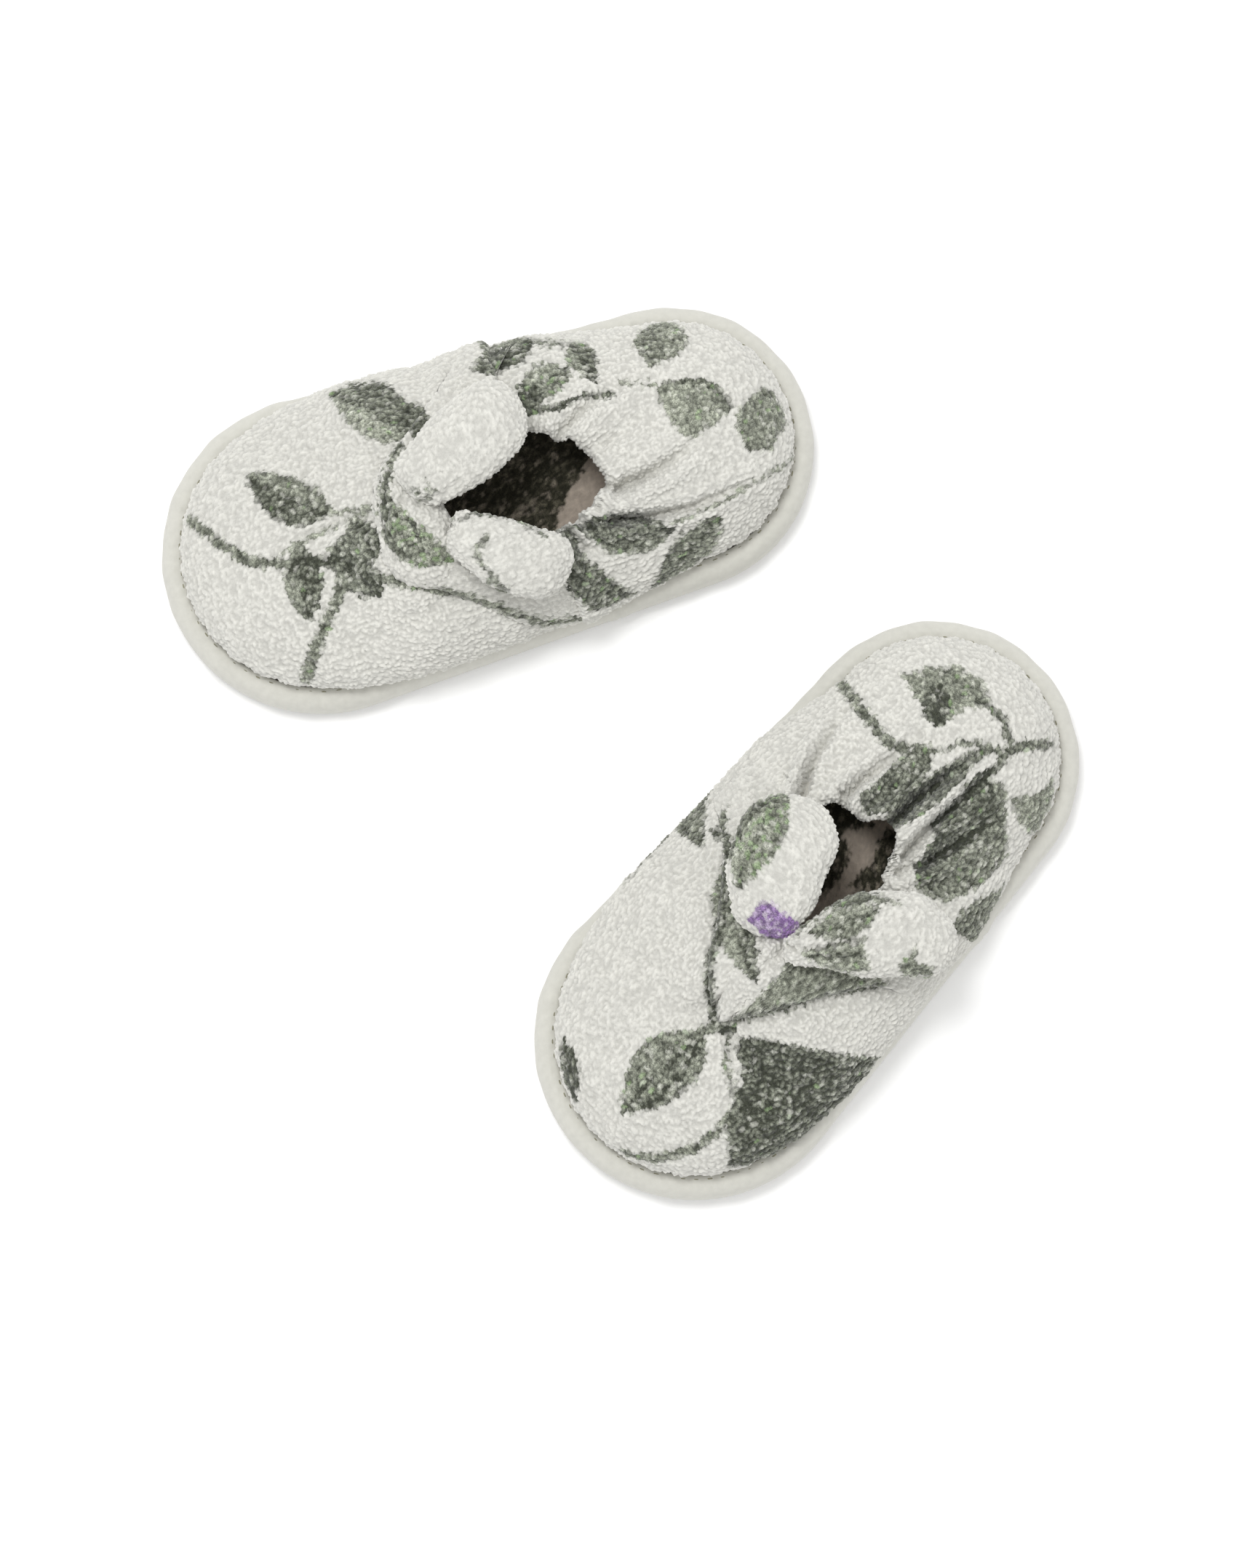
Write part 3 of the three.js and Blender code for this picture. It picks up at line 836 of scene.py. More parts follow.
def strap(s, name, data, seed, node):
    """A band of cloth laid over the upper from the side to the knot, between two given edges."""
    long = float(np.linalg.norm(np.diff(np.array(data.toe, float), axis=0), axis=1).sum())
    rows, columns = int(long / STEP) + 6, int(data.width / STEP) + 4
    toe, heel = (above_wall(spline(lifted(s, e, STRAP_HEIGHT), rows)) for e in (data.toe, data.heel))
    t = np.linspace(0, 1, columns)
    along = np.linspace(0, 1, rows)[:, None]
    edge = rounded_off(np.minimum(t, 1 - t)[None] * data.width, STRAP_ROUND)
    end = rounded_off(np.minimum(along, 1 - along) * long, STRAP_ROUND)
    puff = data.puff * np.sin(math.pi * t[None]) ** 0.7 * smooth(along, 0.1, 0.7)
    fan = data.gather * np.sin(2 * math.pi * (t[None] * data.folds + 0.15)) * smooth(along, 0.35, 1.0)
    thick = (STRAP_CLOTH + puff + fan) * np.minimum(edge, end) * mix(0.15, 1.0, smooth(along, 0.0, 0.45))
    plan = mix(toe[:, None], heel[:, None], t[None, :, None])
    grid = upper(plan[..., 0], plan[..., 1])
    up = normals_of(grid)
    up *= np.sign(up[..., 2].sum())
    grid = grid + up * (STRAP_LIFT + thick + ripple(on_floor(s, grid), seed, 0.2))[..., None]
    cloth, colour = terry(s, grid, data.marks, seed, outward=up)
    few = np.linspace(0, 1, 8)
    coarse = mix(toe[::6, None], heel[::6, None], few[None, :, None])
    if len(toe) % 6 != 1:
        coarse = np.concatenate([coarse, mix(toe[-1:, None], heel[-1:, None], few[None, :, None])])
    inner = upper(coarse[..., 0], coarse[..., 1], STRAP_UNDER)
    piece = shell(s, f"{s.name}_{name}", cloth, inner, colour)
    return finish_piece(s, piece, "terry", node)


def mound(s, name, data, seed, node):
    """A plump fold of cloth inside a given outline."""
    around, rows = int(70 / STEP), int(data.reach / STEP) + 10
    rim = spline(lifted(s, data.outline, KNOT_HEIGHT), around, closed=True)
    middle = lifted(s, [data.middle], KNOT_MIDDLE_HEIGHT)[0]
    out = np.linspace(0.02, 1, rows)[:, None]
    plan = middle + out[..., None] * (rim - middle)
    rise = data.height * np.clip(1 - out ** 2.6, 0, 1) ** 0.5 + 1.2
    grid = upper(plan[..., 0], plan[..., 1]) + rise[..., None] * (0, 0, 1)
    seen = on_floor(s, grid)
    extra = ripple(seen, seed, 0.25)
    for c in data.creases:
        extra = extra + crease_relief(c, seen)
    n = normals_of(grid, wrap=True)
    n *= np.sign(n[..., 2].sum())
    grid = grid + n * (extra * (1 - out ** 4))[..., None]
    cloth, colour = terry(s, grid, data.marks, seed, wrap=True, outward=n)
    foot = np.stack([rim] * 3)
    under = upper(foot[..., 0], foot[..., 1])
    under[..., 2] -= np.array([0.2, 0.8, 1.4])[:, None]
    under[1:, :, :2] = mix(under[1:, :, :2], middle, np.array([0.2, 0.9])[:, None, None])
    cloth = np.concatenate([cloth, under])
    colour = np.concatenate([colour, np.broadcast_to((*COTTON, 0.0), (*under.shape[:2], 4))])
    return finish_piece(s, tube(s, f"{s.name}_{name}", cloth, colour), "terry", node)


def ear(s, name, data, seed):
    """A plump petal on a curved line from its root to its tip, with a seam along its edges."""
    long = data.length
    rows, around = int(long / STEP * 1.15), int((data.width * 2.6) / STEP)
    t = (1 - np.cos(np.linspace(0.06, math.pi - 0.02, rows))) / 2
    t = mix(t, np.linspace(0.004, 0.9995, rows), 0.35)
    root = lifted(s, [data.root], data.z)[0]
    tip = lifted(s, [data.tip], data.z - data.droop)[0]
    way = (tip - root) / np.linalg.norm(tip - root)
    across = np.array([-way[1], way[0]])
    bow = data.bow * np.sin(math.pi * t)
    axis = root + t[:, None] * (tip - root) + bow[:, None] * across
    rise = data.z - data.droop * t ** 1.5 + data.arch * np.sin(math.pi * t)
    half = data.width / 2
    cap = half * 0.95 / long
    body = mix(data.neck, 1.0, smooth(t, 0.0, data.full))
    front = np.sqrt(np.clip(1 - (np.clip(t - (1 - cap), 0, 1) / cap) ** 2, 0.0, 1))
    back = np.sqrt(np.clip(1 - (np.clip(0.1 - t, 0, 1) / 0.1) ** 2, 0.0, 1))
    wide = half * body * front * back
    thick = data.thick * mix(data.neck ** 0.5, 1.0, smooth(t, 0, data.full)) * front ** 0.9 * back
    turn = np.linspace(0, 2 * math.pi, around, endpoint=False)
    c, q = np.cos(turn), np.sin(turn)
    round_c = np.sign(c) * np.abs(c) ** 0.88
    round_q = np.sign(q) * np.abs(q) ** 0.92
    seam = 1 - 0.07 * np.exp(-(q / 0.13) ** 2)
    side = (wide[:, None] * round_c * seam)[..., None] * np.append(across, 0)
    up = np.zeros(side.shape)
    up[..., 2] = thick[:, None] * round_q * np.where(q < 0, 0.8, 1.0)
    line = np.column_stack([axis, rise])
    grid = line[:, None] + side + up
    n = normals_of(grid, wrap=True)
    n *= np.sign((n * (grid - line[:, None])).sum())
    seen = on_floor(s, grid)
    extra = ripple(seen, seed, 0.28)
    for fold in data.creases:
        extra = extra + crease_relief(fold, seen) * (q > -0.1)
    grid = grid + n * extra[..., None]
    cloth, colour = terry(s, grid, data.marks, seed, wrap=True, outward=n)
    piece = tube(s, f"{s.name}_{name}_petal", cloth, colour)
    finish_piece(s, piece, "terry", name, rides=False)
    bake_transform(piece)
    return piece


# ---------------------------------------------------------------- sole and binding

def half_width(u, inset):
    """Half the sole's width at a place along it."""
    u = np.asarray(u, float)
    toe = np.sqrt(np.clip((TOE_RADIUS - inset) ** 2 - (u - TOE_CENTRE) ** 2, 0, None))
    heel = np.sqrt(np.clip((HEEL_RADIUS - inset) ** 2 - (u - HEEL_CENTRE) ** 2, 0, None))
    spine = np.clip((u - TOE_RADIUS * math.cos(SIDE_ANGLE)), HEEL_CENTRE, TOE_CENTRE)
    share = (spine - HEEL_CENTRE) / (TOE_CENTRE - HEEL_CENTRE)
    side = (mix(HEEL_RADIUS, TOE_RADIUS, share) - inset) * math.sin(SIDE_ANGLE)
    return np.where(u > TOE_CENTRE, toe, np.where(u < HEEL_CENTRE, heel, side))


def layer(inset, base, top, step, edge=0.5):
    """Top and bottom grids of one layer of the sole, with its edge rounded."""
    end = LENGTH / 2 - inset - 0.02
    rows = int(2 * end / step)
    u = -end * np.cos(np.linspace(0, math.pi, rows))
    u = mix(u, np.linspace(-end, end, rows), 0.6)
    t = np.linspace(-1, 1, int(62 / step))
    v = half_width(u, inset)[:, None] * t
    u = u[:, None] + 0 * v
    _, _, radius, distance = polar(u, v)
    near = np.clip((radius - inset - distance) / edge, 0, 1)
    fall = edge * (1 - np.sqrt(1 - (1 - near) ** 2))
    depth = min(edge, (top - base) / 2 - 0.05) / edge
    return np.stack([u, v, top - fall * depth], -1), np.stack([u, v, base + fall * depth], -1)


def sole(s):
    """The outsole, the padding and the printed footbed over it, darkened with a painted warm shade."""
    grids = layer(BINDING_WIDTH + 0.3, 0.0, OUTSOLE_FACE, 1.6)
    finish_piece(s, shell(s, f"{s.name}_outsole", *grids), "canvas", "outsole")
    grids = layer(LAYER_INSET, PADDING_BASE, PADDING_TOP, 1.6)
    padding = finish_piece(s, shell(s, f"{s.name}_padding", *grids), "wadding", "sole_padding")
    top_grid, _ = layer(LAYER_INSET, INSOLE_BASE, INSOLE_FACE, 0.5)
    _, low_grid = layer(LAYER_INSET, INSOLE_BASE, INSOLE_FACE, 3.0)
    cloth, colour = terry(s, top_grid, s.insole, s.seed + 40, FOOTBED_PILE, outward=np.array([0, 0, 1.0]),
                          where=on_floor)
    # The footbed's colour is multiplied by the painted warm shade.
    piece = shell(s, f"{s.name}_footbed", cloth, low_grid, colour * (*FOOTBED_PAINTED_SHADE, 1.0))
    finish_piece(s, piece, "footbed", "insole")


def binding(s):
    """The tape folded round the edge, with a joint where its ends meet and a line of stitches."""
    section = spline([
        (4.3, 0.2), (1.9, 0.22), (0.7, 0.6), (0.12, 1.9), (0.0, 4.4), (0.22, 6.6), (1.0, 8.3), (2.3, 9.15),
        (3.5, 9.2), (4.25, 8.8), (4.4, 8.45), (4.1, 8.1), (2.5, 8.15), (1.35, 7.2), (0.9, 4.4), (0.95, 2.2),
        (1.6, 1.15), (4.3, 1.0)], 96, closed=True)
    columns = int(PERIMETER / (0.5))
    along = np.linspace(0, PERIMETER, columns, endpoint=False)
    spine, angle, radius = outline(along)
    inset, z = section[:, :1], section[:, 1:]
    turns = along * 2 * math.pi
    wave = 0.10 * np.sin(turns / 17 + 2 * np.sin(along / 23)) + 0.06 * np.sin(turns / 7.1)
    pucker = 0.07 * np.cos(turns / STITCH_PITCH) * smooth(inset, 2.6, 4.0) * smooth(z, 6, 8)
    away = np.abs(np.mod(along - edge_distance(*TAPE_JOINT) + PERIMETER / 2, PERIMETER) - PERIMETER / 2)
    joint = 0.75 * np.exp(-(away / 3.4) ** 2) - 0.35 * np.exp(-(away / 0.5) ** 2)
    high = smooth(z, 2, 6)
    r = radius - inset + (wave + joint) * high * (1 - smooth(inset, 2.6, 4.2))
    height = z + (wave * 0.6 + joint * 0.5) * smooth(z, 7, 9) * (1 - smooth(inset, 3.6, 4.3)) - pucker
    grid = np.stack([spine + r * np.cos(angle), r * np.sin(angle), height + 0 * r], -1)
    quads = grid_faces(len(section), columns, wrap_rows=True, wrap_columns=True)
    piece = make_mesh(f"{s.name}_tape", world(s, grid), quads)
    finish_piece(s, piece, "tape", "binding")
    stitches(s)


def stitches(s):
    """The thread along the tape's inner edge, one plump bar for each stitch."""
    count = int(PERIMETER / STITCH_PITCH)
    sides, turns = 8, 6
    points, quads, triangles = [], [], []
    for k in range(count):
        jitter = float(scramble(np.array(k), np.array(s.seed), np.array(3)))
        middle = (k + 0.5 + 0.12 * (jitter - 0.5)) * PERIMETER / count
        long = 1.5 + 0.3 * jitter
        base = len(points)
        rings = []
        for i in range(turns):
            x = i / (turns - 1)
            at = middle + long * (x - 0.5)
            u, v = edge_point(at, STITCH_INSET + 0.12 * (jitter - 0.5))
            u2, v2 = edge_point(at + 0.1, STITCH_INSET)
            way = np.array([u2 - u, v2 - v])
            way /= np.linalg.norm(way)
            out = np.array([way[1], -way[0]])
            fat = 0.17 * math.sqrt(max(1 - (2 * x - 1) ** 4, 0.05))
            lift = 9.12 - 0.45 * (2 * x - 1) ** 4
            for m in range(sides):
                a = 2 * math.pi * m / sides
                beside = fat * math.cos(a)
                rings.append((u + beside * out[0], v + beside * out[1], lift + fat * math.sin(a)))
        points.extend(rings)
        quads.append(grid_faces(turns, sides, base, wrap_columns=True))
        for m in range(1, sides - 1):
            last = base + (turns - 1) * sides
            triangles += [(base, base + m, base + m + 1), (last, last + m + 1, last + m)]
    piece = make_mesh(f"{s.name}_stitches", world(s, np.array(points)), np.concatenate(quads), triangles)
    return finish_piece(s, piece, "thread")


# ---------------------------------------------------------------- the two slippers
# Places are as the camera sees them against the floor, in each slipper's own plan.

# The long leaf that the right slipper's outer strap, knot and vamp share.
LONG_LEAF = leaf((4, -18.5), (17.5, 2), 7.6, bend=-1.3, tone=(0.6, 0.3))

LEFT = Record(
    name="left", origin=(-25.54, 48.47), heading=-162.9, seed=1, centre=np.array([-7.5, 2.0]),
    seams=((-10, 28), (-4, -29)), seam_lift=(1.9, -0.4), vamp_lift=(1.5, 0.0),
    rim=[(-23, 1), (-21.5, -4), (-17, -8.5), (-11, -11.5), (-3, -12), (5, -8), (9, -1), (5, 6), (-2, 10),
         (-9, 9.5),
         (-13, 8.0), (-19, 6.0)],
    creases=[
        crease((-25, 4.4), (-30, 4), (-36, 2.6), (-43, 0), depth=4.2, width=1.3, lip=1.5, skew=0.25),
        crease((-12.5, 9), (-15, 13), (-20, 16.5), depth=2.4, width=1.0, lip=1.0, skew=0.6),
        crease((-17, 9), (-20, 11), (-24, 14), depth=1.8, width=0.9, lip=0.9),
        crease((-22, 10), (-29, 11.6), (-38, 12.2), (-50, 11), depth=4.6, width=0.9, lip=1.5, skew=0.3),
        crease((-17, -9), (-24, -13), (-34, -15), depth=2.4, width=1.1, lip=1.0),
        crease((-21, -4), (-30, -6.5), (-36, -8), depth=1.6, width=1.6, lip=0.7),
        crease((-16, 9), (-19, 14), (-30, 17), depth=1.4, width=0.9, lip=0.6),
        crease((-12, -12), (-15, -18), (-22, -23), depth=1.0, width=1.2, lip=0.5),
        crease((-9, 12), (-12, 19), (-17, 24), depth=1.2, width=0.9, lip=0.5),
        crease((21, -4), (29, -5.5), (40, -4), depth=0.9, width=1.4, lip=0.5),
        crease((22, 2), (30, 4), (38, 6), depth=0.7, width=1.4, lip=0.4),
        crease((17, -13), (22, -20), (26, -27), depth=0.8, width=1.6, lip=0.5),
        crease((1, -24), (-2, -28), (-3, -31), depth=0.9, width=1.2, lip=0.5),
        crease((13, 15), (22, 18), (32, 19), depth=0.5, width=2.0, lip=0.4),
    ],
    vamp=[
        leaf((10, -17), (23.5, -30), 11, bend=-1.2, tone=(0.25, 0.65)),
        patch((5.5, -17.5), (10, -16), (11, -21), (9, -24), (6.5, -22), tone=0.15),
        leaf((29.5, -7), (43.5, -20), 9.5, bend=1.2, tone=(0.5, 0.2)),
        leaf((40, 11.5), (37.5, -4.5), 7.5, tone=(0.2, 0.55)),
        leaf((25, 11), (33, 0), 7, bend=-0.5, tone=(0.15, 0.35)),
        leaf((24, 4), (26, -6), 6, tone=(0.2, 0.45)),
        patch((26, 4), (33, 2.5), (32.5, -1), (27, -4), tone=0.35),
        stem((31, 2), (35, 1), (42, -0.6), width=2.2, tone=0.05),
        stem((31, 5), (33.5, 9), (39, 15), (42, 19), (44.5, 23.5), width=2.4, tone=0.35),
        stem((41, -0.6), (48, -3), (52, -8), (56.5, -14), width=2.2, tone=0.35),
        stem((21, -6), (30, -4.6), (41, -3), width=1.0, tone=0.55),
        stem((21, -6), (30, -7.4), width=1.0, tone=0.55),
        stem((-11, 27), (-5, 26), (0, 23), (6, 18), (12, 14), (20, 10), (26, 6.5), width=1.9, tone=0.35),
        patch((-14, -26), (-9, -23), (-4, -26.5), (-9, -29), tone=0.2),
        patch((-16, -27), (-8, -26), (-7, -32), (-16, -32), tone=0.3),
    ],
    heel=[
        leaf((-51, 5), (-58.5, -6), 9.5, belly=0.5, bend=-1.0, tone=(0.3, 0.7)),
        patch((-60, 2), (-56, 6.5), (-52, 5), (-50.5, 0), (-52, -4), (-57, -5.5), (-60, -2), tone=0.45),
        leaf((-51, -4), (-38, -12.5), 11, bend=1.5, tone=(0.3, 0.7)),
        patch((-47, -2), (-41, -0.5), (-38.5, -5), (-38.5, -11), (-42, -12.5), (-47, -10), (-48.5, -6),
              tone=0.6),
        stem((-38, -12.5), (-35, -14), (-32, -15), width=0.9, tone=0.4),
        stem((-29, -13.5), (-24, -14.8), (-18, -14.2), (-12, -14.8), width=1.3, tone=0.1),
        stem((-60, 9), (-54, 10.5), (-45, 12.6), (-33, 14), width=0.9, tone=0.45),
        leaf((-47, -19.5), (-36, -22), 8, tone=(0.5, 0.6)),
        patch((-41, -16.5), (-38, -16), (-36, -22), (-38.5, -24), (-42, -23), tone=0.35),
        leaf((-27.5, -15.5), (-24.5, -26), 5.5, belly=0.62, tone=(0.25, 0.5)),
        stem((-24, -25.5), (-18, -27.5), width=1.0, tone=0.3),
        leaf((-23, -20.5), (-11, -17), 7, bend=-1.0, tone=(0.6, 0.35)),
        patch((-17, -17), (-15, -14.5), (-11.5, -15), (-11.5, -21), (-16, -19), tone=0.15),
        leaf((-18, -28), (-4, -26), 6, tone=(0.4, 0.15)),
        leaf((-43, 15.5), (-25, 26.5), 7, tone=(0.35, 0.55)),
        patch((-23, 26), (-13, 26), (-9.5, 20), (-12, 12), (-9, 9), (-14, 8.5), (-15, 15), (-18, 20),
              tone=0.2),
        leaf((-33, 15.5), (-15, 9), 8, bend=1.0, tone=(0.2, 0.5)),
        patch((-30, 16), (-20, 16.5), (-16, 10), (-22, 11.5), (-28, 12.5), tone=0.3),
    ],
    insole=[patch((-13, 5.6), (-16, 2.2), (-20, -1.2), (-24, -6), (-18, -14), (-8, -18), (12, -16),
                  (16, -2), (8, 10),
                  (0, 14), (-9, 12), tone=0.06, green=0.0)],
    straps=[
        ("outer_strap", Record(
            toe=[(-7, 30.5), (-5, 27), (3, 21.2), (12, 14.5), (19, 10.2), (22.5, 5), (21.5, -1)],
            heel=[(-19, 30), (-14, 24), (-8, 15), (0, 10), (7, 8), (10, 3), (11, -1)],
            width=13, puff=1.1, gather=0.35, folds=2,
            marks=[stem((-12, 27.6), (-6, 26.6), (0, 23), (6, 18.4), (12, 14.4), (20, 9.8), width=1.7,
                        tone=0.35),
                   patch((-20, 27), (-13, 26), (-9.5, 20), (-12, 12), (-16, 14), tone=0.2)])),
        ("inner_strap", Record(
            toe=[(-4, -31.5), (2, -25), (8, -20), (13, -16), (18, -12.5), (21.5, -6), (22, 0)],
            heel=[(-14, -30), (-8, -23), (-2, -15), (4, -12), (9, -9), (11, -5), (12, 0)],
            width=12, puff=0.8, gather=0.35, folds=2,
            marks=[patch((-17, -30), (-14, -24.5), (-9.5, -22.3), (-4.5, -25), (-4, -32), (-16, -33),
                         tone=0.2),
                   patch((5.5, -17), (10, -16), (11, -21), (9, -24), (6.5, -22), tone=0.15),
                   stem((13, -16), (18, -11), (20.5, -5), width=2.0, tone=0.3)])),
    ],
    knot=Record(
        outline=[(22.3, 4), (20.5, 9), (14, 12), (8.5, 9), (7, 3), (8.5, -3), (11, -9), (15, -14),
                 (18.5, -12.5),
                 (21.3, -6)],
        middle=(14.5, 0), reach=14, height=3.6,
        creases=[crease((9.5, 9), (12, 4), (14, -2), depth=0.9, width=0.9, lip=0.4),
                 crease((11, -9), (15.5, -6), (17, 0), (15, 6), depth=0.8, width=0.8, lip=0.4)],
        marks=[leaf((9.5, 9), (18.5, -9), 8, bend=3.6, tone=(0.75, 0.4), green=0.14),
               stem((13, -15), (17.5, -11), (20, -5), (20.6, 1), (18.5, 5), width=1.8, tone=0.25),
               stem((11.5, -14.5), (14, -12), (14.6, -9), width=0.9, tone=0.2),
               stem((14.5, 4), (15.5, -2), (18, -3), width=0.9, tone=0.15)]),
    ears=[
        ("inner_ear", Record(
            root=(14.6, -7.2), tip=(-11.4, -19.3), z=33.2, droop=3.0, arch=0.8, bow=-1.2, length=28, width=16.4,
            neck=0.72, full=0.5, thick=4.9,
            creases=[crease((13, -3.5), (7, -4.5), (2, -6.5), depth=0.6, width=0.8, lip=0.3)],
            marks=[stem((8.6, -5.2), (10.5, -6.0), (10.2, -8.2), width=0.7, tone=0.2),
                   stem((12, -5.6), (13.5, -7.5), width=0.7, tone=0.2),
                   stem((10.8, -4.6), (13, -4.9), width=0.6, tone=0.2)])),
        ("outer_ear", Record(
            root=(8.8, 2.2), tip=(-12.2, 16.6), z=33.2, droop=4.2, arch=0.6, bow=-1.7, length=25, width=13.8,
            neck=0.66, full=0.5, thick=4.6,
            creases=[crease((9, 1), (5, 6), (3, 9), depth=0.6, width=0.8, lip=0.3)],
            marks=[stem((2.2, 6.2), (4.6, 7.0), (4.9, 10), (3.8, 13.2), (2.2, 17), width=1.3, tone=0.3),
                   stem((3.2, 13.6), (5.8, 15.6), width=0.8, tone=0.3),
                   stem((1.2, 17), (3.0, 16), width=0.9, tone=0.2),
                   stem((8, 1), (3, 0.9), (-4, 4), (-9, 9), width=0.8, tone=0.1)])),
    ],
)

